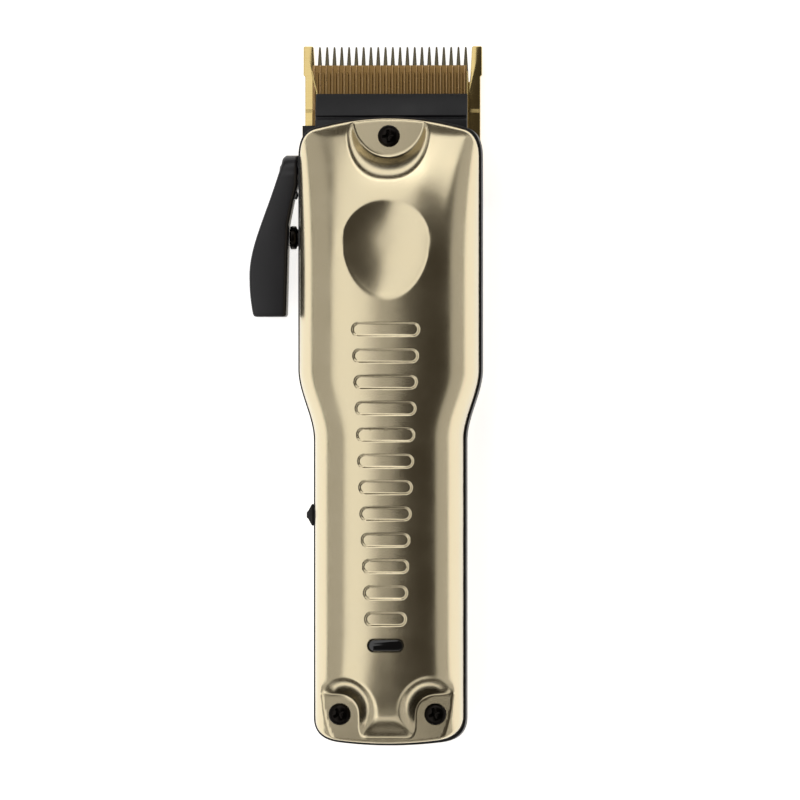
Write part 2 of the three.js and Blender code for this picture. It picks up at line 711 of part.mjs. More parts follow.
/** Carriage: the sliding plate that the fixed blade is screwed to, with a slotted ear for the cam. */
function bladeCarriage() {
  const slotHalf = camPin + gap;
  const pinY = leverY + carriageTravel / 2;
  const plateBody = block(-carriageHalf, carriageHalf, carriageRearY, carriageEndY, cutterZ, carriageTop);
  const ear = block(earX, earX + earThickness, pinY - 3.4, pinY + 2.3, cutterZ, leverHeight - 0.9);
  const holes = [-bladeScrewX, bladeScrewX].map((x) =>
    bar(smallScrew.shank + gap, 0, carriageTop + 1, "z", x, bladeScrewY, 16));
  const slot = block(earX - 1, earX + earThickness + 1, pinY - slotHalf, pinY + slotHalf,
    leverHeight - camThrow - camPin - gap, leverHeight);
  return cut(join(plateBody, ear, block(earX, -carriageHalf + 8, carriageEndY - 3, pinY + 2.3,
    cutterZ, carriageTop)), ...holes, slot);
}

/** Bronze cutter: a plate with fine teeth, ground thin on top towards the tips. */
function cutterPlate() {
  const shape = comb({
    width: cutterWidth, rear: cutterRearY, tip: cutterTipY, count: cutterTeeth, pitch: cutterPitch,
    root: cutterPitch * 0.66, point: 0.6, length: 7.4, bar: cutterBar, barTip: cutterTipY - 4,
  });
  const rivets = [-1, 1].map((side) =>
    bar(rivetRadius + gap, cutterZ - 1, cutterTop + 1, "z", side * rivetX, rivetY, 12));
  return cut(
    plate(shape, cutterZ, cutterTop),
    grind(cutterTipY - 8, cutterTipY + 1, cutterTop, cutterTop - 0.7, cutterTop + 2),
    ...rivets,
  );
}

const rivetRadius = 0.7;
const rivetX = bearingRadius + 3.7;
const rivetY = cutterRearY + 1.5;
const yokeHalf = rivetX + 1.5;
const yokeThickness = 3;
const yokeBaseZ = cutterTop + gap;
const forkRearY = topY - 11.3;
const forkTop = padZ - wall - 0.6;

/** White drive yoke: a base riveted to the cutter and a fork that takes the crank's bearing. */
function driveYoke() {
  const slotHalf = bearingRadius + gap;
  const forkHalf = slotHalf + 1.8;
  const base = block(-yokeHalf, yokeHalf, forkRearY, guardRearY - 0.4, yokeBaseZ, yokeBaseZ + 1.4);
  const fork = block(-forkHalf, forkHalf, forkRearY, forkRearY + yokeThickness, yokeBaseZ, forkTop);
  const slot = block(-slotHalf, slotHalf, forkRearY - 1, forkRearY + yokeThickness + 1,
    motorHeight - crankThrow - bearingRadius - 0.5, forkTop + 1);
  const rivets = [-1, 1].map((side) =>
    bar(rivetRadius + gap, cutterTop, yokeBaseZ + 3, "z", side * rivetX, rivetY, 12));
  return cut(join(base, fork), slot, ...rivets);
}

/** Rivet that holds the yoke on the cutter. */
function yokeRivet() {
  const low = cutterZ + 0.2;
  const high = yokeBaseZ + 1.4 + seatGap;
  return turned([
    [0, low], [rivetRadius, low], [rivetRadius, high], [rivetRadius + 0.4, high],
    [rivetRadius + 0.2, high + 0.5], [0, high + 0.6],
  ], "z", 10);
}

/** Black guard over the cutter, sloping down to its front edge. */
function cutterGuard() {
  const half = guardWidth / 2;
  const front = topY + guardReach;
  const grooveY = topY + 0.4;
  const profile = [
    [guardRearY, guardZ], [front, guardZ], [front, guardZ + 1.3], [grooveY + 0.6, guardTop - 0.3],
    [grooveY + 0.3, guardTop - 0.8], [grooveY - 0.3, guardTop - 0.8], [grooveY - 0.5, guardTop],
    [guardRearY, guardTop],
  ];
  const rings = [-half, half].map((x) => profile.map(([y, z]) => new THREE.Vector3(x, y, z)));
  const holes = [-1, 1].map((side) =>
    bar(smallScrew.shank + gap, guardZ + 0.8, guardTop + 1, "z", side * guardScrew.x, guardScrew.y, 16));
  return cut(loft(rings, (p) => new THREE.Vector2(p.y, p.z)), ...holes);
}

/** Tension spring: a bent wire that presses the cutter onto the fixed blade. */
function tensionSpring() {
  const radius = 0.6;
  const z = cutterTop + gap + radius;
  const half = yokeHalf + cutterTravel + gap + radius;
  const rear = rearTopY + gap + 2.2;
  return wire([
    [-half, cutterRearY + 2, z], [-half, rear + 5, z], [-half + 0.6, rear + 1.2, z], [-half + 3, rear, z],
    [0, rear, z], [half - 3, rear, z], [half - 0.6, rear + 1.2, z], [half, rear + 5, z],
    [half, cutterRearY + 2, z],
  ], radius, 26, 6);
}

// ---------------------------------------------------------------- taper lever

const leverInner = -sideX - leverStandoff; // inner face of the lever's paddle
const bossInner = -sideX - gap;
const bossOuter = leverInner - 1.8;
const paddleEndY = leverY - leverReach;
const pivotScrewLength = 5;
const plungerRadius = 1.2;
const plungerTravel = 0.5;

/** Black lever: a boss on the axle and a paddle that swells away from the body. */
function taperLever() {
  const out = -sideX - leverSwell;
  const shape = new THREE.Shape();
  shape.moveTo(leverInner - 0.6, leverY + 4);
  shape.lineTo(bossOuter, leverY + 1.4);
  shape.bezierCurveTo(out + 3.4, leverY - 12, out - 0.9, leverY - 19, out - 0.5, leverY - leverReach + 9);
  shape.quadraticCurveTo(out - 0.5, paddleEndY + 4, out + 0.5, paddleEndY + 0.6);
  shape.quadraticCurveTo(out + 0.7, paddleEndY, out + 1.7, paddleEndY);
  shape.lineTo(leverInner - 1, paddleEndY);
  shape.quadraticCurveTo(leverInner, paddleEndY, leverInner, paddleEndY + 1);
  shape.lineTo(leverInner, leverY - knobDrop - 4);
  shape.quadraticCurveTo(leverInner, leverY - 8, leverInner + 1.2, leverY - 4);
  shape.lineTo(leverInner + 1.2, leverY + 2);
  const paddle = plate(shape, leverHeight - leverThickness / 2, leverHeight + leverThickness / 2);
  const boss = bar(4, bossOuter, bossInner, "x", leverY, leverHeight, 28);
  return cut(
    join(paddle, boss),
    bar(smallScrew.head + gap, bossOuter - 2, bossOuter + smallScrew.rise, "x", leverY, leverHeight, 16),
    bar(smallScrew.shank + gap, bossOuter - 2, bossInner + 1, "x", leverY, leverHeight, 16),
    bar(plungerRadius + gap, leverInner - 1.4 - plungerTravel, bossInner + 2, "x", leverY - plungerDrop, leverHeight, 16),
  );
}

/** Cam behind the lever: an axle through the frame, a disc, and a pin off its centre. */
function leverCam() {
  const swing = THREE.MathUtils.degToRad(camSwing / 2);
  const pinEnd = earX + earThickness + gap;
  const outer = -sideX + 0.1;
  const body = join(
    bar(journal, outer, discSide + 0.1, "x", leverY, leverHeight, 24),
    bar(camDisc, discSide, discSide + discThickness, "x", leverY, leverHeight, 28),
    bar(camPin, discSide + 0.5, pinEnd, "x", leverY + camThrow * Math.sin(swing),
      leverHeight - camThrow * Math.cos(swing), 16),
  );
  const thread = outer + pivotScrewLength - 2;
  return cut(body, bar(smallScrew.shank + gap, outer - 1, thread, "x", leverY, leverHeight, 16));
}

/** Sprung plunger that clicks the lever into place; its tip is round. */
function detentPlunger() {
  const length = bossInner - leverInner + 0.9;
  return turned([
    [0, -length], [plungerRadius, -length], [plungerRadius, -0.5], [plungerRadius * 0.7, -0.1], [0, 0],
  ], "x", 16);
}

/** Round stop on the frame that the paddle rests against. */
function stopKnob() {
  const faceX = leverInner + gap;
  return turned([
    [0, faceX], [2.7, faceX], [3, faceX + 0.3], [3, -sideX - 1.1], [2.7, -sideX - 0.8], [2.1, -sideX - 0.8],
    [2.1, -sideX - seatGap], [1.2, -sideX - seatGap], [1.2, -innerSide], [0, -innerSide],
  ], "x", 24);
}

// ---------------------------------------------------------------- drive

const canWall = 1;
const magnetDepth = 1.9;
const stackRadius = motorDiameter / 2 - canWall - gap - magnetDepth - 0.5;
const stackFront = motorFrontY - 5;
const stackRear = motorRearY + 6.5;
const eccentricY = bracketY + bracketThickness + 0.5; // rear face of the eccentric
const eccentricLength = 5.4;
const pinTipY = forkRearY - 0.4;
const crankRadius = 4.1;
const crankAngle = Math.asin(yokeX / crankThrow);
const crankX = crankThrow * Math.sin(crankAngle);
const crankZ = motorHeight + crankThrow * Math.cos(crankAngle);

/** Motor can: a steel cup, open at the back, with a hole for the shaft and two for its screws. */
function motorCan() {
  const cup = cut(
    bar(motorDiameter / 2, motorRearY, motorFrontY, "y", 0, motorHeight, 28),
    bar(motorDiameter / 2 - canWall, motorRearY - 1, motorFrontY - 1.5, "y", 0, motorHeight, 28),
    bar(shaftRadius + 0.6, motorRearY, motorFrontY + 1, "y", 0, motorHeight, 16),
  );
  return cut(cup, ...[-1, 1].map((side) =>
    bar(smallScrew.shank + gap, motorFrontY - 3, motorFrontY + 1, "y", side * motorScrewX, motorHeight, 16)));
}

/** End cap that closes the can and carries the brush terminals. */
function motorEndCap() {
  const plug = motorDiameter / 2 - canWall - gap;
  return cut(
    join(
      bar(motorDiameter / 2, capRearY, motorRearY - gap, "y", 0, motorHeight, 28),
      bar(plug, capRearY + 1, motorRearY + 1.5, "y", 0, motorHeight, 28),
    ),
    bar(plug - 1.4, capRearY + 1.5, motorRearY + 3, "y", 0, motorHeight, 24),
    bar(shaftRadius + 0.5, capRearY - 1, motorRearY, "y", 0, motorHeight, 16),
    ...[-1, 1].map((side) => lugCut(side * terminalX)),
  );
}

const terminalX = motorDiameter / 2 - 4;

function lugCut(x) {
  return block(x - 1.3, x + 1.3, capRearY - 1, capRearY + 3, motorHeight - 0.7, motorHeight + 0.7);
}

/** One of the two curved magnets inside the can. */
function magnet(side) {
  const outer = motorDiameter / 2 - canWall - gap;
  const ring = cut(
    bar(outer, stackRear, stackFront, "y", 0, motorHeight, 24),
    bar(outer - magnetDepth, stackRear - 1, stackFront + 1, "y", 0, motorHeight, 24),
  );
  const near = side > 0 ? 2.5 : -outer - 1;
  const far = side > 0 ? outer + 1 : -2.5;
  return ring.intersect(block(near, far, stackRear - 1, stackFront + 1, 0, bodyDepth));
}

/** Laminated armature with winding slots. */
function armature() {
  const slots = 5;
  const made = cut(
    bar(stackRadius, stackRear + 0.5, stackFront - 0.5, "y", 0, 0, 30),
    bar(shaftRadius + gap / 3, stackRear - 1, stackFront + 1, "y", 0, 0, 16),
  );
  const groove = (i) => {
    const box = new THREE.BoxGeometry(1.6, stackFront - stackRear + 2, 4);
    box.translate(0, (stackFront + stackRear) / 2, stackRadius);
    return solid(box.rotateY((2 * Math.PI * i) / slots));
  };
  return cut(made, ...Array.from({ length: slots }, (_, i) => groove(i)));
}

/** Eccentric on the shaft, with the crank's pin off its centre. */
function eccentric() {
  const face = eccentricY + eccentricLength;
  return cut(
    join(
      bar(crankRadius, eccentricY, face, "y", 0, motorHeight, 28),
      bar(crankPinRadius, face - 1, pinTipY, "y", crankX, crankZ, 16),
    ),
    bar(shaftRadius + gap / 3, eccentricY - 1, face - 2, "y", 0, motorHeight, 16),
  );
}

/** A plain ring around an axis along Y. */
function ring(inner, outer, from, to, x, z, sides = 24) {
  const made = turned([[inner, from], [outer, from], [outer, to], [inner, to], [inner, from]], "y", sides);
  return made.translate(x, 0, z);
}

/** Plate that fixes the motor in the mid frame. */
function motorBracket() {
  const half = innerSide - 0.5;
  const holes = [
    bar(crankRadius * 0.75, bracketY - 1, bracketY + 3, "y", 0, motorHeight, 24),
    ...[-1, 1].flatMap((side) => [
      bar(smallScrew.shank + gap, bracketY - 1, bracketY + 3, "y", side * motorScrewX, motorHeight, 16),
      bar(smallScrew.shank + gap, bracketY - 1, bracketY + 3, "y", side * bracketScrewX, frameMiddleZ, 16),
    ]),
  ];
  return cut(join(
    block(-half, half, bracketY, bracketY + bracketThickness, frameZ + 0.3, frameTop - 0.3),
    block(-motorScrewX - 2.5, motorScrewX + 2.5, bracketY, bracketY + bracketThickness,
      motorHeight - 7, motorHeight + 7),
  ), ...holes);
}

// ---------------------------------------------------------------- power

const tabThickness = 0.4;

/** Battery cell with a narrower positive cap. */
function batteryCell() {
  const r = cellDiameter / 2;
  return turned([
    [0, cellBottomY], [r - 0.6, cellBottomY], [r, cellBottomY + 0.6], [r, cellTopY - 1.6],
    [r - 0.8, cellTopY - 1.4], [r - 0.6, cellTopY - 0.8], [2.8, cellTopY - 0.8], [2.8, cellTopY], [0, cellTopY],
  ], "y", 32);
}

/** Circuit board with holes for its screws, its LED and its leads. */
function circuitBoard() {
  const half = boardScrewX + boardMargin;
  return cut(
    block(-half, half, boardRearY, boardTopY, boardZ, boardTopZ),
    ...boardScrewPlaces().map(([x, y]) => bar(smallScrew.shank + gap, boardZ - 1, boardTopZ + 1, "z", x, y, 16)),
  );
}

function boardScrewPlaces() {
  return [[boardScrewX, boardTopY - 3], [-boardScrewX, boardRearY + 3]];
}

/** Dark lens in the window, with a flange behind the cover. */
function indicatorLens() {
  const face = pillRecess(windowY, windowWidth - 2 * gap, windowHeight - 2 * gap, wall + 1);
  const half = windowWidth / 2 + 1;
  const under = coverHeight(half, windowY - 3) - wall - 2 * gap;
  const above = block(-half, half, windowY - 5, windowY + 5, crown(windowY) - 0.25, bodyDepth + 4);
  return join(face.subtract(above), block(-half, half, windowY - 2.8, windowY + 2.8, under - 1, under));
}

/** Charging jack: a square housing with a round nose through the frame's end wall. */
function chargingJack() {
  return cut(
    join(
      bar(jackNose, bottomY + 0.2 - frameProud, jackRearY + 1, "y", 0, frameMiddleZ, 24),
      block(-jackRadius, jackRadius, jackRearY, jackRearY + jackLength,
        frameMiddleZ - jackRadius, frameMiddleZ + jackRadius),
    ),
    bar(jackBore, bottomY - 2, jackRearY + jackLength - 2, "y", 0, frameMiddleZ, 20),
  );
}

/** Switch nub outside the frame, its neck in the slot and its shoe inside. */
function switchKnob() {
  const outside = -gripHalf - frameProud - gap;
  const shape = new THREE.Shape();
  shape.moveTo(outside, -switchBase / 2);
  shape.lineTo(outside - 0.3, -switchBase / 2);
  shape.lineTo(outside - switchProud + gap, -switchTip / 2);
  shape.lineTo(outside - switchProud + gap, switchTip / 2);
  shape.lineTo(outside - 0.3, switchBase / 2);
  shape.lineTo(outside, switchBase / 2);
  const inside = -gripHalf + frameWall + gap;
  const neckAlong = switchNeck.along / 2;
  const neckAcross = switchNeck.across / 2;
  return join(
    plate(shape, frameMiddleZ - neckAcross - 0.6, frameMiddleZ + neckAcross + 0.6),
    block(outside - 0.2, inside + 0.2, -neckAlong, neckAlong, frameMiddleZ - neckAcross, frameMiddleZ + neckAcross),
    block(inside, inside + 0.8, -neckAlong - 1, neckAlong + 1, frameMiddleZ - neckAcross - 0.3,
      frameMiddleZ + neckAcross + 0.3),
  );
}

/** Slide switch on a shelf of the frame, with a slot for the nub's shoe to push. */
function switchBody() {
  const x = -gripHalf + frameWall + gap + 0.8 + gap;
  const rise = frameDepth - 1.6;
  const body = block(x, x + 4.6, switchY - 6, switchY + 6, frameZ + 1 + gap, frameZ + 1 + gap + rise);
  return cut(body, block(x - 1, x + 0.6, switchY - 3, switchY + 3 + switchTravel / 2,
    frameMiddleZ - 1, frameMiddleZ + 1));
}

// ---------------------------------------------------------------- assembly

const clipper = new THREE.Group();
const [housing, bladeSet, leverSet, motor, power] = Array.from({ length: 5 }, () => new THREE.Group());
clipper.add(housing, bladeSet, leverSet, motor, power);
const sides = [["left", -1], ["right", 1]];

piece(housing, "front_cover", frontCover(), finishes.champagne);
piece(housing, "rear_cover", rearCover(), finishes.champagne);
piece(housing, "mid_frame", midFrame(), finishes.blackNylon);
piece(housing, "indicator_lens", indicatorLens(), finishes.blackPiano);
const topScrewLength = padZ - guardTop - 1.2;
placeScrew(housing, "cover_screw_top", coverScrew, topScrewLength, "up", 0, padScrewY, padZ + seatGap, true);
for (const [name, side] of sides) {
  const length = seatZ - frameZ - 4;
  placeScrew(housing, `cover_screw_${name}`, coverScrew, length, "up",
    side * bottomScrewX, bottomScrewY, seatZ + seatGap, true);
}
for (const [i, [x, y]] of rearScrewPlaces().entries()) {
  const underHead = smallScrew.rise + 0.9 - seatGap;
  placeScrew(housing, `rear_screw_${i + 1}`, smallScrew, frameZ - underHead + 3, "down", x, y, underHead, true);
}

piece(bladeSet, "fixed_blade", fixedBlade(), finishes.titaniumGold);
piece(bladeSet, "blade_carriage", bladeCarriage(), finishes.steel);
piece(bladeSet, "cutter", cutterPlate(), finishes.bronze, yokeX);
piece(bladeSet, "drive_yoke", driveYoke(), finishes.whiteNylon, yokeX);
piece(bladeSet, "cutter_guard", cutterGuard(), finishes.blackNylon);
piece(bladeSet, "tension_spring", tensionSpring(), finishes.steel);
for (const [name, side] of sides) {
  const bladeScrewLength = bladeThickness + gap + cutterThickness - 0.4;
  placeScrew(bladeSet, `blade_screw_${name}`, smallScrew, bladeScrewLength, "down",
    side * bladeScrewX, bladeScrewY, bladeRear - seatGap, true);
  placeScrew(bladeSet, `guard_screw_${name}`, smallScrew, guardDepth + 0.4, "up",
    side * guardScrew.x, guardScrew.y, guardTop + gap + 1.3 + seatGap);
  piece(bladeSet, `yoke_rivet_${name}`, yokeRivet(), finishes.steel, yokeX + side * rivetX, rivetY);
}

piece(leverSet, "taper_lever", taperLever(), finishes.blackNylon);
piece(leverSet, "lever_cam", leverCam(), finishes.steel);
piece(leverSet, "detent_plunger", detentPlunger(), finishes.blackSteel,
  bossInner, leverY - plungerDrop, leverHeight);
piece(leverSet, "lever_stop_knob", stopKnob(), finishes.blackSteel, 0, leverY - knobDrop, frameMiddleZ);
placeScrew(leverSet, "lever_pivot_screw", smallScrew, pivotScrewLength, "left",
  bossOuter + smallScrew.rise - seatGap, leverY, leverHeight, true);

const rotorEnd = eccentricY + eccentricLength - 2 - gap;
piece(motor, "motor_can", motorCan(), finishes.steel);
piece(motor, "motor_end_cap", motorEndCap(), finishes.whiteNylon);
piece(motor, "motor_bracket", motorBracket(), finishes.nickel);
piece(motor, "armature", armature(), finishes.copper, 0, 0, motorHeight);
piece(motor, "commutator",
  ring(shaftRadius + gap / 3, stackRadius * 0.55, stackRear - 4.5, stackRear, 0, motorHeight), finishes.brass);
piece(motor, "motor_shaft", bar(shaftRadius, capRearY - 0.5, rotorEnd, "y", 0, motorHeight), finishes.steel);
piece(motor, "eccentric", eccentric(), finishes.brass);
piece(motor, "crank_bearing",
  ring(crankPinRadius + gap / 3, bearingRadius, pinTipY - bearingLength, pinTipY, crankX, crankZ), finishes.steel);
for (const [name, side] of sides) {
  piece(motor, `magnet_${name}`, magnet(side), finishes.ferrite);
  piece(motor, `motor_terminal_${name}`, block(side * terminalX - 0.9, side * terminalX + 0.9,
    capRearY - 2.2, capRearY + 2.7, motorHeight - 0.3, motorHeight + 0.3), finishes.brass);
  placeScrew(motor, `motor_screw_${name}`, smallScrew, bracketThickness + gap + 1.4, "top",
    side * motorScrewX, bracketY + bracketThickness + seatGap, motorHeight);
  placeScrew(motor, `bracket_screw_${name}`, smallScrew, 3.6, "top",
    side * bracketScrewX, ribY + 2 + seatGap, frameMiddleZ);
}

piece(power, "battery_cell", batteryCell(), finishes.cellWrap, 0, 0, cellZ);
for (const [name, y, low] of [["front", cellTopY + gap, -2], ["rear", cellBottomY - gap - tabThickness, -2]]) {
  piece(power, `battery_tab_${name}`,
    block(-2.5, 2.5, y, y + tabThickness, cellZ + low, cellZ + cellDiameter / 2 - 1), finishes.nickel);
}
piece(power, "battery_pad", block(-5, 5, cellBottomY + 6, cellTopY - 6, wall + gap,
  cellZ - cellDiameter / 2 - gap), finishes.foam);
piece(power, "circuit_board", circuitBoard(), finishes.greenBoard);
piece(power, "indicator_led",
  block(-1.5, 1.5, windowY - 1, windowY + 1, boardTopZ + seatGap, boardTopZ + 1.3), finishes.ledClear);
for (const [i, [x, y]] of boardScrewPlaces().entries()) {
  placeScrew(power, `board_screw_${i + 1}`, smallScrew, 5.5, "up", x, y, boardTopZ + seatGap);
}
piece(power, "switch_body", switchBody(), finishes.blackNylon);
piece(power, "switch_knob", switchKnob(), finishes.blackNylon, 0, switchY);
piece(power, "charging_jack", chargingJack(), finishes.blackNylon);
piece(power, "charging_pin",
  bar(0.5, bottomY + 1.5, jackRearY + jackLength - 2 - gap, "y", 0, frameMiddleZ, 12), finishes.brass);

const leadRadius = 0.6;
const overBoard = boardTopZ + leadRadius + gap;
const leads = [
  ["motor_lead_left", -1, finishes.blackWire],
  ["motor_lead_right", 1, finishes.redWire],
];
for (const [name, side, finish] of leads) {
  const x = side * terminalX;
  piece(power, name, wire([
    [x, capRearY - 3.2, motorHeight], [x, capRearY - 4.6, motorHeight + 3], [x, midRibY, boardZ - 2],
    [x * 0.85, cellTopY - 1, overBoard], [x * 0.8, boardTopY - 2, overBoard],
  ], leadRadius, 12, 6), finish);
}
piece(power, "battery_lead_front", wire([
  [1.5, cellTopY + 1.6, boardZ - 4], [1.5, cellTopY + 1.8, boardZ - 1], [1.5, cellTopY - 1.5, overBoard + 0.2],
  [1.5, boardTopY - 1.5, overBoard],
], leadRadius, 10, 6), finishes.redWire);
piece(power, "battery_lead_rear", wire([
  [0, cellBottomY - 1.8, boardZ - 5], [0, cellBottomY - 2.6, boardZ - 2.5],
  [0, cellBottomY - 3.6, boardZ - 0.9],
], leadRadius, 6, 6), finishes.blackWire);

export default clipper;
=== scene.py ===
"""Looks of a cordless hair clipper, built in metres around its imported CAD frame.

The clipper lies on its back: +Z comes out of the front cover, +Y points to the blade tips and +X to
the right. Sizes inside the classes are millimetres, and mesh_piece() turns them into metres.
"""

from __future__ import annotations

import json
import logging
import math
from dataclasses import dataclass, field
from enum import Enum
from typing import Any, Sequence

import bmesh
import bpy
import numpy as np
from mathutils import Matrix, Vector
from mathutils.geometry import tessellate_polygon


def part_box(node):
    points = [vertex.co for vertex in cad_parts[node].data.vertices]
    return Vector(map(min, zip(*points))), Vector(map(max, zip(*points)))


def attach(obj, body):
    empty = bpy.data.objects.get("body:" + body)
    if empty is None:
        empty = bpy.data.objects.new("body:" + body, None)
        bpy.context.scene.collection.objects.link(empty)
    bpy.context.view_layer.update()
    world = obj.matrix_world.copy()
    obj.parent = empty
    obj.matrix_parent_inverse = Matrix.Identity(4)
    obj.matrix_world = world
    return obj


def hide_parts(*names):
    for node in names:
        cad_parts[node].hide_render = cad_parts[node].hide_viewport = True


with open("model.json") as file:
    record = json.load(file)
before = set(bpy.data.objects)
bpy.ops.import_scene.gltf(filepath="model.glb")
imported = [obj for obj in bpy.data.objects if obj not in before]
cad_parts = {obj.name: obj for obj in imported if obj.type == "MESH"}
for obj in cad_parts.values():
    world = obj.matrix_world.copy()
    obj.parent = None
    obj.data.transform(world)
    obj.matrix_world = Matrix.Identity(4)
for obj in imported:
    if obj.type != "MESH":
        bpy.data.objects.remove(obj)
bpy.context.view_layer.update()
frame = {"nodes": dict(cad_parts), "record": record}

MM = 0.001
log = logging.getLogger("hair_clipper")

Ring = np.ndarray  # rows of x, y, z in millimetres
Faces = list[tuple[int, ...]]


class Pattern(Enum):
    """How a surface was made, which sets the fine pattern that its finish shows."""

    BLASTED = "fine grain from bead blasting"
    BRUSHED = "long fine lines along one direction"
    GROUND = "short lines from a grinding wheel"
    MOULDED = "leathery grain of a moulding tool"
    POLISHED = "almost even, with faint waviness"
    WOUND = "turns of wire side by side"


class Along(Enum):
    """The direction in which a brushed or ground surface's lines run."""

    X = (0.04, 1.0, 1.0)
    Y = (1.0, 0.04, 1.0)
    Z = (1.0, 1.0, 0.04)


# ------------------------------------------------------------------ materials


def linear(colour: str) -> tuple[float, float, float, float]:
    """Turns an sRGB hex colour into the linear colour that shaders take.

    Args:
        colour: Six hex digits, such as "c8b896".

    Returns:
        Red, green, blue and an alpha of 1.
    """
    values = [int(colour[i : i + 2], 16) / 255 for i in (0, 2, 4)]
    red, green, blue = (v / 12.92 if v <= 0.04045 else ((v + 0.055) / 1.055) ** 2.4 for v in values)
    return (red, green, blue, 1.0)


def add_node(
    tree: bpy.types.NodeTree, kind: str, inputs: dict[Any, Any] | None = None, **settings: Any
) -> bpy.types.Node:
    """Adds one node to a tree.

    Args:
        tree: The node tree that takes the node.
        kind: The node's type name.
        inputs: Socket name or number, with a constant or with the output socket that feeds it.
        settings: The node's own settings by name.

    Returns:
        The new node.
    """
    made = tree.nodes.new(kind)
    for name, value in settings.items():
        setattr(made, name, value)
    for key, value in (inputs or {}).items():
        if isinstance(value, bpy.types.NodeSocket):
            tree.links.new(value, made.inputs[key])
        else:
            made.inputs[key].default_value = value
    return made


@dataclass(frozen=True)
class Finish:
    """One real finish: its colour range, its gloss and the fine pattern that its making left.

    Attributes:
        name: What the material is and how its surface was made.
        light: Hex colour of the lighter areas.
        dark: Hex colour of the darker areas.
        metallic: 1 for bare metal and 0 for plastic or paint.
        gloss: Lowest and highest roughness.
        pattern: How the surface was made.
        grain: Spacing of the pattern in millimetres.
        relief: Height of the pattern in millimetres.
        along: Direction of the lines, where the pattern has them.
        coat: Weight of a clear coat.
    """

    name: str
    light: str
    dark: str
    metallic: float = 0.0
    gloss: tuple[float, float] = (0.3, 0.4)
    pattern: Pattern = Pattern.MOULDED
    grain: float = 0.6
    relief: float = 0.01
    along: Along = Along.Y
    coat: float = 0.0

    def build(self) -> bpy.types.Material:
        """Builds the finish as a node material, once, and hands it out again after that."""
        known = bpy.data.materials.get(self.name)
        if known is not None:
            return known
        made = bpy.data.materials.new(self.name)
        made.use_nodes = True
        tree = made.node_tree
        tree.nodes.clear()
        place = add_node(tree, "ShaderNodeTexCoord").outputs["Object"]
        grain = self.grain_height(tree, place)
        cloud = add_node(tree, "ShaderNodeTexNoise", {
            "Vector": place, "Scale": 1 / (9 * MM), "Detail": 3.0, "Roughness": 0.6,
        }).outputs["Fac"]
        share = add_node(tree, "ShaderNodeMath", {0: grain, 1: cloud}, operation="MULTIPLY").outputs[0]
        colour = add_node(tree, "ShaderNodeMix", {
            0: share, 6: linear(self.dark), 7: linear(self.light),
        }, data_type="RGBA").outputs[2]
        gloss = add_node(tree, "ShaderNodeMapRange", {
            "Value": cloud, "From Min": 0.3, "From Max": 0.7,
            "To Min": self.gloss[0], "To Max": self.gloss[1],
        }).outputs[0]
        bump = add_node(tree, "ShaderNodeBump", {
            "Height": grain, "Distance": self.relief * MM, "Strength": 1.0,
        }).outputs[0]
        shader = add_node(tree, "ShaderNodeBsdfPrincipled", {
            "Base Color": colour, "Roughness": gloss, "Normal": bump,
            "Metallic": self.metallic, "Coat Weight": self.coat, "Coat Roughness": 0.05,
        })
        add_node(tree, "ShaderNodeOutputMaterial", {"Surface": shader.outputs[0]})
        made.diffuse_color = linear(self.light)
        made.metallic = self.metallic
        made.roughness = self.gloss[0]
        return made

    def grain_height(self, tree: bpy.types.NodeTree, place: bpy.types.NodeSocket) -> bpy.types.NodeSocket:
        """Adds the nodes of the finish's fine pattern.

        Args:
            tree: The material's tree.
            place: Output with the Object coordinates.

        Returns:
            The output with the pattern's height, from 0 to 1.
        """
        scale = 1 / (self.grain * MM)
        if self.pattern in (Pattern.BRUSHED, Pattern.GROUND):
            stretched = add_node(tree, "ShaderNodeVectorMath", {0: place, 1: self.along.value},
                                 operation="MULTIPLY").outputs[0]
            detail = 6.0 if self.pattern is Pattern.BRUSHED else 2.0
            return add_node(tree, "ShaderNodeTexNoise", {
                "Vector": stretched, "Scale": scale, "Detail": detail, "Roughness": 0.7,
            }).outputs["Fac"]
        if self.pattern is Pattern.MOULDED:
            cells = add_node(tree, "ShaderNodeTexVoronoi", {"Vector": place, "Scale": scale},
                             feature="SMOOTH_F1").outputs["Distance"]
            return add_node(tree, "ShaderNodeMapRange", {"Value": cells, "From Max": 0.8}).outputs[0]
        if self.pattern is Pattern.WOUND:
            return add_node(tree, "ShaderNodeTexWave", {
                "Vector": place, "Scale": scale / (2 * math.pi), "Distortion": 0.4,
            }, wave_type="BANDS", bands_direction="Y").outputs["Fac"]
        detail = 4.0 if self.pattern is Pattern.BLASTED else 1.0
        return add_node(tree, "ShaderNodeTexNoise", {
            "Vector": place, "Scale": scale, "Detail": detail, "Roughness": 0.55,
        }).outputs["Fac"]


# Die-cast zinc, bead blasted and plated champagne gold: soft, wide highlights without sharp images.
CHAMPAGNE = Finish("plated_zinc_champagne_satin", "e6dabc", "daccaa", 1.0, (0.2, 0.26),
                   Pattern.BLASTED, grain=0.35, relief=0.0012)
# Ground tool steel with a gold titanium nitride coat: bright, with short lines across the blade.
TITANIUM = Finish("ground_steel_titanium_gold", "f0dca4", "d8be7c", 1.0, (0.16, 0.26),
                  Pattern.GROUND, grain=0.25, relief=0.002, along=Along.X)
# The same steel with a bronze coat, darker and a little duller.
BRONZE = Finish("ground_steel_bronze_coat", "a88a5c", "7d6138", 1.0, (0.22, 0.34),
                Pattern.GROUND, grain=0.22, relief=0.002, along=Along.X)
# The cutter's thin ridges: the bronze coat coloured much lighter, as painted highlight.
RIDGE_HIGHLIGHT = Finish("bronze_coat_painted_highlight", "f2d6a6", "d8b27c", 1.0, (0.3, 0.38),
               Pattern.POLISHED, grain=1.5, relief=0.001)
# The teeth's gold-coated steel, coloured darker and greyer than the plate: painted shade.
SHADED_TOOTH_STEEL = Finish("tooth_steel_painted_shade", "8e866c", "5a5444", 1.0, (0.24, 0.34),
                      Pattern.GROUND, grain=0.25, relief=0.002, along=Along.Y)
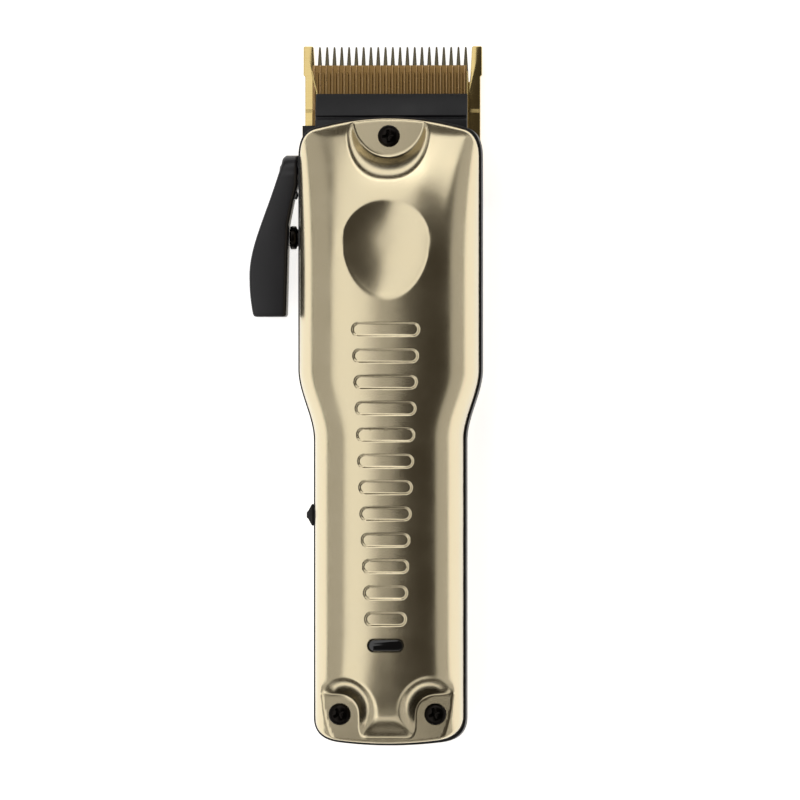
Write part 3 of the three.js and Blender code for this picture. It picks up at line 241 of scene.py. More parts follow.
# Glass-filled nylon from a textured tool: dark, with a broken dull sheen.
NYLON = Finish("moulded_nylon_black", "1d1d20", "111114", 0.0, (0.42, 0.55),
               Pattern.MOULDED, grain=0.32, relief=0.006)
# Satin black powder coat on the die-cast lever: even, with a soft sheen.
COATED_LEVER = Finish("powder_coated_zinc_black", "201f23", "18171b", 0.0, (0.34, 0.42),
                      Pattern.BLASTED, grain=0.3, relief=0.002)
# Black-oxide screw steel: nearly black, with small hard highlights.
BLACK_STEEL = Finish("black_oxide_steel", "241f1c", "15120f", 0.9, (0.2, 0.32),
                     Pattern.BLASTED, grain=0.25, relief=0.002)
# Polished acrylic lens, almost black until its lamp is on.
LENS = Finish("polished_acrylic_smoke", "17171a", "0d0d0f", 0.0, (0.05, 0.09),
              Pattern.POLISHED, grain=3.0, relief=0.002, coat=0.5)
# Bright zinc-plated steel of the works.
STEEL = Finish("zinc_plated_steel", "c9cbcf", "a9acb0", 1.0, (0.24, 0.36),
               Pattern.BRUSHED, grain=0.3, relief=0.002)
# Natural nylon: waxy off-white.
WHITE_NYLON = Finish("moulded_nylon_natural", "e8e4d8", "dcd7c8", 0.0, (0.4, 0.5),
                     Pattern.MOULDED, grain=0.4, relief=0.004)
# Enamelled copper wire wound in the armature's slots.
COPPER = Finish("enamelled_copper_winding", "b8683c", "7e3f20", 1.0, (0.25, 0.35),
                Pattern.WOUND, grain=0.45, relief=0.06)
# Turned free-cutting brass.
BRASS = Finish("turned_brass", "d8b25c", "b48c3c", 1.0, (0.2, 0.3),
               Pattern.GROUND, grain=0.3, relief=0.002, along=Along.X)
# Sintered ferrite magnets: dark grey and slightly porous.
FERRITE = Finish("sintered_ferrite", "46464a", "2c2c2f", 0.0, (0.6, 0.75),
                 Pattern.BLASTED, grain=0.4, relief=0.01)
# Heat-shrink sleeve on the battery cell.
CELL_WRAP = Finish("shrink_sleeve_blue", "3a6cae", "2c5590", 0.0, (0.2, 0.3),
                   Pattern.POLISHED, grain=2.5, relief=0.02)
# Open-cell foam pad.
FOAM = Finish("open_cell_foam_grey", "66666c", "3c3c40", 0.0, (0.85, 0.95),
              Pattern.MOULDED, grain=0.5, relief=0.12)
# Solder-masked circuit board.
BOARD = Finish("solder_masked_board_green", "236a40", "17502f", 0.0, (0.25, 0.35),
               Pattern.GROUND, grain=0.5, relief=0.01, along=Along.Y)
# Clear epoxy lamp.
LAMP = Finish("clear_epoxy_lamp", "eef4f8", "d6dee6", 0.0, (0.06, 0.1),
              Pattern.POLISHED, grain=2.0, relief=0.001, coat=0.3)
# PVC sleeves of the leads.
RED_WIRE = Finish("pvc_sleeve_red", "b4281f", "8f1d17", 0.0, (0.35, 0.45),
                  Pattern.POLISHED, grain=1.5, relief=0.01)
BLACK_WIRE = Finish("pvc_sleeve_black", "1f1f21", "141415", 0.0, (0.35, 0.45),
                    Pattern.POLISHED, grain=1.5, relief=0.01)

SLOT_FINISH: dict[str, Finish] = {
    "champagne_metal": CHAMPAGNE, "black_nylon": NYLON, "black_lever": COATED_LEVER,
    "black_lens": LENS, "titanium_gold": TITANIUM, "bronze_cutter": BRONZE,
    "black_screw": BLACK_STEEL, "bare_steel": STEEL, "white_nylon": WHITE_NYLON,
    "copper_winding": COPPER, "brass_metal": BRASS, "ferrite": FERRITE, "cell_wrap": CELL_WRAP,
    "grey_foam": FOAM, "green_board": BOARD, "led_clear": LAMP, "red_wire": RED_WIRE,
    "black_wire": BLACK_WIRE,
}


# ------------------------------------------------------------------ meshes


def show(name: str, mesh: bpy.types.Mesh, slot: str, crease: float = 38.0) -> bpy.types.Object:
    """Puts a mesh in the scene as a piece, smooth up to a crease angle and with its slot's finish.

    Args:
        name: The piece's name.
        mesh: Its mesh, in metres and in place.
        slot: The record's material slot.
        crease: Angle in degrees past which an edge stays sharp.

    Returns:
        The new object.
    """
    mesh.polygons.foreach_set("use_smooth", [True] * len(mesh.polygons))
    mesh.set_sharp_from_angle(angle=math.radians(crease))
    mesh.materials.clear()
    mesh.materials.append(SLOT_FINISH[slot].build())
    made = bpy.data.objects.new(name, mesh)
    bpy.context.scene.collection.objects.link(made)
    return made


def mesh_piece(
    name: str, points: Sequence[Any] | np.ndarray, faces: Faces, slot: str, crease: float = 38.0
) -> bpy.types.Object:
    """Makes a closed piece from points in millimetres.

    Args:
        name: The piece's name.
        points: Rows of x, y and z in millimetres.
        faces: Corner numbers of each face.
        slot: The record's material slot.
        crease: Angle in degrees past which an edge stays sharp.

    Returns:
        The new object, its doubles merged and its faces turned outwards.
    """
    mesh = bpy.data.meshes.new(name)
    mesh.from_pydata((np.asarray(points, float) * MM).tolist(), [], [list(f) for f in faces])
    work = bmesh.new()
    work.from_mesh(mesh)
    bmesh.ops.remove_doubles(work, verts=work.verts, dist=2e-7)
    bmesh.ops.recalc_face_normals(work, faces=work.faces)
    work.to_mesh(mesh)
    work.free()
    return show(name, mesh, slot, crease)


def settle(piece: bpy.types.Object, crease: float = 38.0) -> bpy.types.Object:
    """Turns a piece with live modifiers into a plain mesh, with its creases set again.

    Args:
        piece: Object with modifiers.
        crease: Angle in degrees past which an edge stays sharp.

    Returns:
        The same object, its modifiers made plain.
    """
    depsgraph = bpy.context.evaluated_depsgraph_get()
    made = bpy.data.meshes.new_from_object(piece.evaluated_get(depsgraph), depsgraph=depsgraph)
    piece.modifiers.clear()
    piece.data = made
    made.polygons.foreach_set("use_smooth", [True] * len(made.polygons))
    made.set_sharp_from_angle(angle=math.radians(crease))
    return piece


def soften(
    piece: bpy.types.Object, width: float, segments: int = 3, crease: float = 38.0
) -> bpy.types.Object:
    """Rounds a piece's sharp edges by a width in millimetres.

    Args:
        piece: Object to round.
        width: Width of the rounding in millimetres.
        segments: Steps in the rounding.
        crease: Angle in degrees past which an edge is rounded.

    Returns:
        The same object.
    """
    bevel = piece.modifiers.new("edge_round", "BEVEL")
    bevel.width = width * MM
    bevel.segments = segments
    bevel.limit_method = "ANGLE"
    bevel.angle_limit = math.radians(crease)
    bevel.harden_normals = False
    return settle(piece, 30.0)


def carve(piece: bpy.types.Object, cutters: Sequence[bpy.types.Object]) -> bpy.types.Object:
    """Cuts the cutters' shapes out of a piece and removes the cutters.

    Args:
        piece: Object to cut.
        cutters: Objects to cut away; they are removed.

    Returns:
        The same object.
    """
    for cutter in cutters:
        cut = piece.modifiers.new("carve", "BOOLEAN")
        cut.operation = "DIFFERENCE"
        cut.solver = "EXACT"
        cut.object = cutter
    settle(piece)
    for cutter in cutters:
        bpy.data.objects.remove(cutter)
    return piece


def skin(rings: Sequence[Ring], closes: bool = False) -> tuple[np.ndarray, Faces]:
    """Joins rings of the same count with faces.

    Args:
        rings: The rings in order.
        closes: True where the last ring joins the first; otherwise both ends are closed flat.

    Returns:
        The points and the faces.
    """
    count = len(rings[0])
    faces: Faces = []
    steps = len(rings) if closes else len(rings) - 1
    for r in range(steps):
        low, high = r * count, ((r + 1) % len(rings)) * count
        for i in range(count):
            j = (i + 1) % count
            faces.append((low + i, low + j, high + j, high + i))
    if not closes:
        faces.append(tuple(range(count - 1, -1, -1)))
        faces.append(tuple(range((len(rings) - 1) * count, len(rings) * count)))
    return np.concatenate([np.asarray(r, float) for r in rings]), faces


def lathe(profile: Sequence[tuple[float, float]], centre: Sequence[float], axis: str, sides: int = 48
          ) -> tuple[np.ndarray, Faces]:
    """Turns a profile round an axis.

    Args:
        profile: Pairs of radius and distance along the axis, in order.
        centre: A point on the axis, from which the distances count.
        axis: "x", "y" or "z".
        sides: Points in each ring.

    Returns:
        The points and the faces.
    """
    angles = np.arange(sides) * 2 * math.pi / sides
    order = {"x": (2, 0, 1), "y": (1, 2, 0), "z": (0, 1, 2)}[axis]
    rings = []
    for radius, distance in profile:
        plain = np.stack([radius * np.cos(angles), radius * np.sin(angles), np.full(sides, distance)], axis=1)
        rings.append(plain[:, order] + np.asarray(centre, float))
    return skin(rings)


def block(low: Sequence[float], high: Sequence[float]) -> tuple[np.ndarray, Faces]:
    """A box between two corners, as two rings.

    Args:
        low: Lowest corner in millimetres.
        high: Highest corner in millimetres.

    Returns:
        Points and faces.
    """
    (x0, y0, z0), (x1, y1, z1) = low, high
    ring = [(x0, y0), (x1, y0), (x1, y1), (x0, y1)]
    return skin([np.array([(x, y, z) for x, y in ring], float) for z in (z0, z1)])


def smooth_min(a: np.ndarray | float, b: np.ndarray | float, width: float) -> np.ndarray:
    """The smaller of two values, rounded over a width where they meet.

    Args:
        a: First value.
        b: Second value.
        width: How far apart they start to blend.

    Returns:
        The blended lower value.
    """
    near = np.maximum(width - np.abs(np.subtract(a, b)), 0) / width
    return np.minimum(a, b) - near * near * width / 4


def smooth_max(a: np.ndarray | float, b: np.ndarray | float, width: float) -> np.ndarray:
    """The larger of two values, rounded over a width where they meet.

    Args:
        a: First value.
        b: Second value.
        width: How far apart they start to blend.

    Returns:
        The blended higher value.
    """
    return -smooth_min(np.negative(a), np.negative(b), width)


def ride(piece: bpy.types.Object, body: str, *nodes: str) -> bpy.types.Object:
    """Fixes a piece to a body, lets it stand for CAD nodes, and reports it.

    Args:
        piece: The finished piece.
        body: The body that it moves with.
        nodes: The CAD nodes that it stands for.

    Returns:
        The same piece.
    """
    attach(piece, body)
    if nodes:
        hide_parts(*nodes)
    log.info("%s: %d faces on %s", piece.name, len(piece.data.polygons), body)
    return piece


def corners(node: str) -> tuple[np.ndarray, np.ndarray]:
    """Lowest and highest corner of a CAD node, in millimetres.

    Args:
        node: Name of a CAD node.

    Returns:
        Its lowest and its highest corner in millimetres.
    """
    low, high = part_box(node)
    return np.array(low) / MM, np.array(high) / MM


# ------------------------------------------------------------------ shape of the body


@dataclass(frozen=True)
class BodyForm:
    """The rule that the covers and the frame share, in millimetres.

    Attributes:
        top: Y of the arched upper edge at the middle.
        bottom: Y of the lower edge at the middle.
        head: Half of the head's width.
        grip: Half of the grip's width.
        split: Height of the front cover's lower edge.
        peak: Height of the front cover's highest point.
        waist: Y where the grip ends.
        shoulder: Y where the head's straight sides start.
    """

    top: float
    bottom: float
    head: float
    grip: float
    split: float
    peak: float
    waist: float = -11.6
    shoulder: float = 6.0
    arch_drop: float = 2.7
    corner_across: float = 3.9
    corner_along: float = 7.4
    foot_corner: float = 6.3
    foot_bow: float = 0.8
    head_fall: float = 12.0
    head_slope: float = 38.6
    tail_fall: float = 5.5
    tail_slope: float = 27.4
    power: float = 2.8

    @classmethod
    def from_frame(cls) -> BodyForm:
        """Reads the covers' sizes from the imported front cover."""
        low, high = corners("front_cover")
        place = np.array([v.co for v in frame["nodes"]["front_cover"].data.vertices]) / MM
        grip = float(place[place[:, 1] < cls.waist - 1, 0].max())
        return cls(float(high[1]), float(low[1]), float(high[0]), grip, float(low[2]), float(high[2]))

    def half_width(self, y: np.ndarray | float) -> np.ndarray:
        """Half of the covers' width at a place along the body.

        Args:
            y: Places along.

        Returns:
            Half widths.
        """
        t = np.clip((np.asarray(y, float) - self.waist) / (self.shoulder - self.waist), 0, 1)
        return self.grip + (self.head - self.grip) * t * t * (3 - 2 * t)

    def crown(self, y: np.ndarray | float) -> np.ndarray:
        """Height of the front cover on the centre line, before its recesses.

        Args:
            y: Places along.

        Returns:
            Heights.
        """
        y = np.asarray(y, float)
        head = np.maximum(0, (y - self.top + self.head_slope) / self.head_slope)
        tail = np.maximum(0, (self.bottom + self.tail_slope - y) / self.tail_slope)
        return self.peak - self.head_fall * head**2 - self.tail_fall * tail**2

    def height(self, x: np.ndarray, y: np.ndarray) -> np.ndarray:
        """Height of the crowned surface over a place, before its recesses.

        Args:
            x: Places across.
            y: Places along.

        Returns:
            Heights.
        """
        across = np.clip(np.abs(x) / self.half_width(y), 0, 1) ** self.power
        return self.split + (self.crown(y) - self.split) * (1 - across) ** (1 / self.power)

    def upper_edge(self, x: np.ndarray) -> np.ndarray:
        """Y of the arched upper edge, its corners included.

        Args:
            x: Places across.

        Returns:
            Places along.
        """
        x = np.minimum(np.abs(x), self.head)
        arch_x, arch_y = self.head - self.corner_across, self.top - self.arch_drop
        t = (1 - np.minimum(x / arch_x, 1)) / 2
        arch = arch_y * ((1 - t) ** 2 + t * t) + 2 * t * (1 - t) * (self.top + self.arch_drop)
        lean = 2 * self.arch_drop * self.corner_across / arch_x
        t = np.sqrt(np.clip((self.head - x) / self.corner_across, 0, 1))
        corner = ((1 - t) ** 2 * (arch_y - self.corner_along) + 2 * t * (1 - t) * (arch_y - lean)
                  + t * t * arch_y)
        return np.where(x <= arch_x, arch, corner)

    def lower_edge(self, x: np.ndarray) -> np.ndarray:
        """Y of the lower edge, its corners included.

        Args:
            x: Places across.

        Returns:
            Places along.
        """
        x = np.minimum(np.abs(x), self.grip)
        foot_x, foot_y = self.grip - self.foot_corner, self.bottom + self.foot_bow
        t = (1 - np.minimum(x / foot_x, 1)) / 2
        middle = foot_y * ((1 - t) ** 2 + t * t) + 2 * t * (1 - t) * (self.bottom - self.foot_bow)
        lean = 2 * self.foot_bow * self.foot_corner / foot_x
        t = 1 - np.sqrt(np.clip((self.grip - x) / self.foot_corner, 0, 1))
        corner = ((1 - t) ** 2 * foot_y + 2 * t * (1 - t) * (foot_y + lean)
                  + t * t * (foot_y + self.foot_corner))
        return np.where(x <= foot_x, middle, corner)

    def outline(self, inset: float, flat_top: float | None = None) -> np.ndarray:
        """The body's outline from the front, inside the covers' edge by an inset.

        Args:
            inset: How far inside, or outside where it is negative.
            flat_top: Y of a straight upper edge, instead of the arched one.

        Returns:
            Rows of x and y, anticlockwise from the middle of the lower edge.
        """
        def curve(
            a: tuple[float, float], b: tuple[float, float], c: tuple[float, float], n: int
        ) -> np.ndarray:
            """Points of a quadratic curve.

            Args:
                a: Start.
                b: Control point.
                c: End, left out.
                n: How many points.

            Returns:
                The points.
            """
            t = np.linspace(0, 1, n, endpoint=False)[:, None]
            return (1 - t) ** 2 * np.array(a) + 2 * t * (1 - t) * np.array(b) + t * t * np.array(c)

        head, grip = self.head - inset, self.grip - inset
        foot = (grip - self.foot_corner, self.bottom + inset + self.foot_bow)
        lean = 2 * self.foot_bow * self.foot_corner / foot[0]
        low = np.linspace(0, foot[0], 14, endpoint=False)
        t = (1 - low / foot[0]) / 2
        low_y = foot[1] * ((1 - t) ** 2 + t * t) + 2 * t * (1 - t) * (self.bottom + inset - self.foot_bow)
        parts = [
            np.stack([low, low_y], axis=1),
            curve(foot, (grip, foot[1] + lean), (grip, foot[1] + self.foot_corner), 16),
        ]
        side = np.concatenate([
            np.linspace(foot[1] + self.foot_corner, self.waist, 12, endpoint=False),
            np.linspace(self.waist, self.shoulder, 24, endpoint=False),
        ])
        parts.append(np.stack([self.half_width(side) - inset, side], axis=1))
        if flat_top is None:
            arch = (head - self.corner_across, self.top - inset - self.arch_drop)
            lean = 2 * self.arch_drop * self.corner_across / arch[0]
            rise = np.linspace(self.shoulder, arch[1] - self.corner_along, 14, endpoint=False)
            parts.append(np.stack([np.full(14, head), rise], axis=1))
            parts.append(curve((head, arch[1] - self.corner_along), (head, arch[1] - lean), arch, 18))
            top = np.linspace(arch[0], 0, 20)
            t = (1 - top / arch[0]) / 2
            top_y = arch[1] * ((1 - t) ** 2 + t * t) + 2 * t * (1 - t) * (self.top - inset + self.arch_drop)
            parts.append(np.stack([top, top_y], axis=1))
        else:
            corner = max(0.2, 1.6 - inset)
            rise = np.linspace(self.shoulder, flat_top - corner, 14, endpoint=False)
            parts.append(np.stack([np.full(14, head), rise], axis=1))
            parts.append(curve((head, flat_top - corner), (head, flat_top), (head - corner, flat_top), 8))
            parts.append(np.stack([np.linspace(head - corner, 0, 12), np.full(12, flat_top)], axis=1))
        right = np.concatenate(parts)
        left = right[1:-1][::-1] * (-1, 1)
        return np.concatenate([right, left])

    def ring(self, inset: float, z: float, flat_top: float | None = None) -> Ring:
        """The inset outline at one height, as a ring of points.

        Args:
            inset: How far inside the edge.
            z: Height of the ring.
            flat_top: Y of a straight upper edge, instead of the arched one.

        Returns:
            The ring of points.
        """
        flat = self.outline(inset, flat_top)
        return np.column_stack([flat, np.full(len(flat), z)])


@dataclass(frozen=True)
class GripRecesses:
    """The row of shallow recesses with round ends on the grip, narrowing towards the bottom."""

    count: int = 12
    first: float = 52.9
    pitch: float = 6.56
    width: float = 17.1
    taper: float = 0.6
    tall: float = 3.65
    depth: float = 0.38
    wall: float = 0.5

    def distance(
        self, form: BodyForm, x: np.ndarray, y: np.ndarray
    ) -> tuple[np.ndarray, np.ndarray, np.ndarray]:
        """Distance to the nearest recess's edge, negative inside, and the direction away from it.

        Args:
            form: The body's shape.
            x: Places across.
            y: Places along.

        Returns:
            The distance, and the two parts of the direction outwards.
        """
        number = np.clip(np.round((form.top - self.first - y) / self.pitch), 0, self.count - 1)
        return stadium(x, y - (form.top - self.first - self.pitch * number),
                       self.width - self.taper * number, self.tall)


def stadium(x: np.ndarray, y: np.ndarray, width: np.ndarray | float, tall: float
            ) -> tuple[np.ndarray, np.ndarray, np.ndarray]:
    """Distance to the edge of a shape with round ends about the origin, and the way out of it.

    Args:
        x: Places across from its middle.
        y: Places along from its middle.
        width: Full width.
        tall: Full height.

    Returns:
        The distance, and the two parts of the direction outwards.
    """
    radius = tall / 2
    core = np.clip(x, -(width / 2 - radius), width / 2 - radius)
    across, up = x - core, y
    length = np.maximum(np.hypot(across, up), 1e-9)
    return length - radius, across / length, up / length


@dataclass(frozen=True)
class FrontCover:
    """Front cover: a crowned metal shell with the screw pads, the thumb hollow and the grip recesses.

    Attributes:
        form: The body's shape.
        grip: The grip recesses.
        wall: Thickness of the shell.
        step: Spacing of the mesh over the recesses.
        coarse: Spacing of the mesh elsewhere.
        fine_from: X where the recesses' round ends start.
        fine_to: X where they stop.
        pad_z: Height of the pad round the top screw.
        pad_y: Y from which the pad's outline is measured.
        seat_z: Height of the seats round the bottom screws.
        seat: X and Y of a bottom screw.
        edge: Rounding of the cover's ends.
    """

    form: BodyForm
    grip: GripRecesses
    wall: float = 1.6
    step: float = 0.2
    coarse: float = 0.42
    fine_from: float = 3.2
    fine_to: float = 8.8
    pad_z: float = 19.7
    pad_y: float = 68.4
    pad_foot: tuple[float, float, float] = (8.9, 9.4, 2.0)
    pad_rim: tuple[float, float, float] = (10.1, 13.4, 2.3)
    strip_slope: float = 0.95
    seat_z: float = 25.0
    seat: tuple[float, float] = (11.95, -80.1)
    seat_foot: float = 4.9
    seat_run: float = 3.4
    tongue_foot: float = -86.1
    tongue_run: float = 3.6
    hollow_y: float = 38.1
    hollow_half: float = 10.9
    hollow_up: float = 9.85
    hollow_down: float = 14.6
    hollow_depth: float = 2.2
    hollow_power: float = 2.5
    window: tuple[float, float] = (9.3, 3.5)
    window_depth: float = 1.1
    window_wall: float = 0.25
    edge: float = 0.55

    @property
    def window_y(self) -> float:
        """Y of the indicator window's middle."""
        return self.form.top - self.grip.first - self.grip.pitch * self.grip.count

    def pad_share(self, x: np.ndarray, y: np.ndarray) -> np.ndarray:
        """0 on the top screw's pad, 1 past its sloping wall.

        Args:
            x: Places across.
            y: Places along.

        Returns:
            The share.
        """
        down = self.pad_y - y
        angle = np.arctan2(np.maximum(down, 0), np.abs(x))
        reach = np.hypot(x, np.maximum(down, 0))

        def radius(shape: tuple[float, float, float]) -> np.ndarray:
            """Reach of a rounded outline in each direction.

            Args:
                shape: Reach across, reach along and roundness.

            Returns:
                The reach in each direction.
            """
            across, along, power = shape
            total = (np.cos(angle) / across) ** power + (np.sin(angle) / along) ** power
            return total ** (-1 / power)

        foot, rim = radius(self.pad_foot), radius(self.pad_rim)
        return (reach - foot) / (rim - foot)

    def seat_share(self, x: np.ndarray, y: np.ndarray) -> np.ndarray:
        """0 on the seats of the bottom screws, 1 on the grip and on the tongue between them.

        Args:
            x: Places across.
            y: Places along.

        Returns:
            The share.
        """
        right, up = self.seat[0] - np.abs(x), y - self.seat[1]
        outside = np.hypot(np.maximum(right, 0), np.maximum(up, 0))
        reach = outside + np.minimum(np.maximum(right, up), 0)
        flare = 1.6 * np.clip((-83.0 - y) / 4.0, 0, 1) ** 2
        corner = (reach - self.seat_foot - flare) / self.seat_run
        return smooth_min(corner, (y - self.tongue_foot) / self.tongue_run, 0.35)

    def sink(self, z: np.ndarray, floor: float, share: np.ndarray, round_top: float) -> np.ndarray:
        """Lowers a surface to a flat floor where the share is 0, with a rounded upper edge.

        Args:
            z: Heights of the surface.
            floor: Height of the floor.
            share: Where on the sloping wall each place is.
            round_top: Rounding of the wall's upper edge.

        Returns:
            The lowered heights.
        """
        wall = smooth_max(smooth_min(share, 1, round_top), 0, 0.07)
        return np.where(z > floor, floor + (z - floor) * wall, z)

    def surface(self, x: np.ndarray, y: np.ndarray, z: np.ndarray) -> np.ndarray:
        """Height of the finished outer surface.

        Args:
            x: Places across.
            y: Places along.
            z: Height of the plain crowned surface there.

        Returns:
            The height with every recess and rounding.
        """
        form = self.form
        along = (y - self.hollow_y) / np.where(y > self.hollow_y, self.hollow_up, self.hollow_down)
        egg = np.hypot(x / self.hollow_half, along)
        z = z - self.hollow_depth * smooth_max(1 - egg**self.hollow_power, 0, 0.09)
        z = self.sink(z, self.pad_z, self.pad_share(x, y), 0.55)
        upper, lower = self.end_distances(x, y)
        z = smooth_min(z, self.pad_z + self.strip_slope * upper, 0.7)
        z = self.sink(z, self.seat_z, self.seat_share(x, y), 0.5)
        reach, _, _ = self.grip.distance(form, x, y)
        z = z - self.grip.depth * ramp(-reach / self.grip.wall)
        reach, _, _ = stadium(x, y - self.window_y, *self.window)
        z = z - self.window_depth * ramp(-reach / self.window_wall)
        over = np.clip(self.edge - np.minimum(upper, lower), 0, self.edge)
        return z - (self.edge - np.sqrt(self.edge**2 - over**2))

    def end_distances(self, x: np.ndarray, y: np.ndarray) -> tuple[np.ndarray, np.ndarray]:
        """Distances from the upper and the lower edge, close to them.

        Args:
            x: Places across.
            y: Places along.

        Returns:
            Distances from the upper edge, and from the lower edge.
        """
        found = []
        for edge, sign in ((self.form.upper_edge, 1), (self.form.lower_edge, -1)):
            slope = np.clip((edge(np.abs(x) + 0.01) - edge(np.abs(x) - 0.01)) / 0.02, -3, 3)
            found.append(sign * (edge(x) - y) / np.hypot(1, slope))
        return found[0], found[1]

    def columns(self) -> np.ndarray:
        """Angles of the section's points, closest together in the middle and even along the arc."""
        form = self.form
        angle = np.linspace(0, math.pi / 2, 4000)
        x = form.grip * np.sin(angle) ** (2 / form.power)
        z = (form.peak - form.split) * np.cos(angle) ** (2 / form.power)
        arc = np.concatenate([[0], np.cumsum(np.hypot(np.diff(x), np.diff(z)))])
        inner, outer = np.interp(self.fine_from, x, arc), np.interp(self.fine_to, x, arc)
        pick = np.concatenate([
            np.arange(0, inner, self.coarse), np.arange(inner, outer, self.step * 0.85),
            np.linspace(outer, arc[-1], 26),
        ])
        half = np.interp(pick, arc, angle)
        return np.concatenate([-half[:0:-1], half])

    def spread(self, angle: np.ndarray, rows: np.ndarray) -> tuple[np.ndarray, np.ndarray]:
        """Places of a grid: rows bend towards the ends so that the last ones are the end edges.

        Args:
            angle: Angles of the section's points.
            rows: Y of each row on the centre line.

        Returns:
            X and y of the grid.
        """
        form = self.form
        across = np.sign(angle) * np.abs(np.sin(angle)) ** (2 / form.power)
        share, base = np.meshgrid(across, rows)
        up = np.clip((base - 40) / (form.top - 40), 0, 1)
        down = np.clip((-60 - base) / (-60 - form.bottom), 0, 1)
        y = (base + up * (form.upper_edge(share * form.head) - form.top)
             + down * (form.lower_edge(share * form.grip) - form.bottom))
        return share * form.half_width(y), y

    def snap(self, x: np.ndarray, y: np.ndarray) -> tuple[np.ndarray, np.ndarray]:
        """Moves nearby points onto the recesses' edges, so that the edges come out clean.

        Args:
            x: Places across.
            y: Places along.

        Returns:
            The moved places.
        """
        reach = self.step * 0.55
        for distance, wall in (
            (lambda a, b: self.grip.distance(self.form, a, b), self.grip.wall),
            (lambda a, b: stadium(a, b - self.window_y, *self.window), self.window_wall),
        ):
            for level in (0.0, -wall):
                far, out_x, out_y = distance(x, y)
                near = np.abs(far - level) < min(reach, wall * 0.48)
                x = np.where(near, x - (far - level) * out_x, x)
                y = np.where(near, y - (far - level) * out_y, y)
        return x, y

    def shell(self) -> tuple[np.ndarray, Faces]:
        """Points and faces of the whole shell: outer surface, inner surface and the rim between."""
        form = self.form
        ends = np.array([0, 0.04, 0.12, 0.24, 0.42, 0.66, 0.95])
        low, high = self.window_y - 2.3, form.top - self.grip.first + 2.3
        middle = np.concatenate([
            np.arange(form.bottom + 1.2, low, self.coarse * 0.93), np.arange(low, high, self.step),
            np.arange(high, form.top - 1.2, self.coarse * 0.93),
        ])
        rows = np.concatenate([form.bottom + ends, middle, form.top - ends[::-1]])
        angle = self.columns()
        x, y = self.spread(angle, rows)
        rise = np.abs(np.cos(angle)) ** (2 / form.power)
        x, y = self.snap(x, y)
        steep = np.abs(x) > 0.8 * form.half_width(y)
        plain = np.where(steep, form.split + (form.crown(y) - form.split) * rise[None, :], form.height(x, y))
        z = np.maximum(self.surface(x, y, plain), form.split)
        outer = self.with_skirt(x, y, z)

        angle, rows = angle[:: 6], rows[4 :: 10]
        x, y = self.spread(angle, rows)
        rise = np.abs(np.cos(angle)) ** (2 / form.power)
        share = np.sign(angle) * np.abs(np.sin(angle)) ** (2 / form.power)
        middle_y = (form.top + form.bottom) / 2
        y = middle_y + (y - middle_y) * (1 - self.wall / (form.top - middle_y))
        x = share[None, :] * (form.half_width(y) - self.wall)
        z = form.split + (form.crown(y) - self.wall - form.split) * rise[None, :]
        z = np.minimum(z, self.surface(x, y, form.height(x, y)) - self.wall)
        inner = self.with_skirt(x, y, np.maximum(z, form.split))
        return self.close(outer, inner)

    def with_skirt(self, x: np.ndarray, y: np.ndarray, z: np.ndarray) -> np.ndarray:
        """Adds the end walls down to the split as more rows, and gives a grid of points.

        Args:
            x: Places across.
            y: Places along.
            z: Heights.

        Returns:
            The grid, with rows of points.
        """
        grid = np.stack([x, y, z], axis=2)
        levels = (0.35, 0.7, 1.0)
        low = [grid[0] * (1, 1, 1 - t) + (0, 0, t * self.form.split) for t in levels]
        high = [grid[-1] * (1, 1, 1 - t) + (0, 0, t * self.form.split) for t in levels]
        return np.concatenate([np.stack(low[::-1]), grid, np.stack(high)])

    def close(self, outer: np.ndarray, inner: np.ndarray) -> tuple[np.ndarray, Faces]:
        """Joins two grids of points by a flat rim along their borders.

        Args:
            outer: Grid of the outer surface.
            inner: Grid of the inner surface.

        Returns:
            Points and faces of the closed shell.
        """
        points: list[np.ndarray] = []
        faces: Faces = []
        loops = []
        start = 0
        for grid in (outer, inner):
            rows, columns, _ = grid.shape
            number = start + np.arange(rows * columns).reshape(rows, columns)
            quads = np.stack([number[:-1, :-1], number[:-1, 1:], number[1:, 1:], number[1:, :-1]], axis=2)
            faces += [tuple(q) for q in quads.reshape(-1, 4).tolist()]
            points.append(grid.reshape(-1, 3))
            border = np.concatenate([number[0, :-1], number[:-1, -1], number[-1, :0:-1], number[:0:-1, 0]])
            place = grid.reshape(-1, 3)[border - start]
            apart = np.linalg.norm(place - np.roll(place, 1, axis=0), axis=1) > 1e-4
            loops.append(border[apart])
            start += rows * columns
        stacked = np.concatenate(points)
        flat = [[Vector((*stacked[i][:2], 0.0)) for i in loop] for loop in loops]
        order = np.concatenate(loops)
        faces += [tuple(int(order[i]) for i in three) for three in tessellate_polygon(flat)]
        return stacked, faces

    def build(self) -> None:
        """Builds the cover and the lens in its window."""
        points, faces = self.shell()
        cover = mesh_piece("front_cover_shell", points, faces, "champagne_metal", 48)
        ride(cover, "body", "front_cover")
        self.lens()

    def lens(self) -> None:
        """Builds the lens: a pill with a domed face and a round edge, standing in the window."""
        turn = np.arange(64) * 2 * math.pi / 64
        rings = []
        for inset, drop in ((0.28, 1.25), (0.28, 0.55), (0.34, 0.38), (0.5, 0.28), (0.9, 0.22), (1.4, 0.19)):
            radius = self.window[1] / 2 - inset
            straight = self.window[0] / 2 - self.window[1] / 2
            x = np.sign(np.round(np.cos(turn), 6)) * straight + radius * np.cos(turn)
            y = self.window_y + radius * np.sin(turn)
            rings.append(np.stack([x, y, self.form.height(x, y) - drop], axis=1))
        points, faces = skin(rings)
        ride(mesh_piece("indicator_lens_pill", points, faces, "black_lens", 50), "body", "indicator_lens")


def ramp(share: np.ndarray) -> np.ndarray:
    """0 below 0 and 1 above 1, with a smooth rise between.

    Args:
        share: Place on the rise.

    Returns:
        The height.
    """
    t = np.clip(share, 0, 1)
    return t * t * (3 - 2 * t)


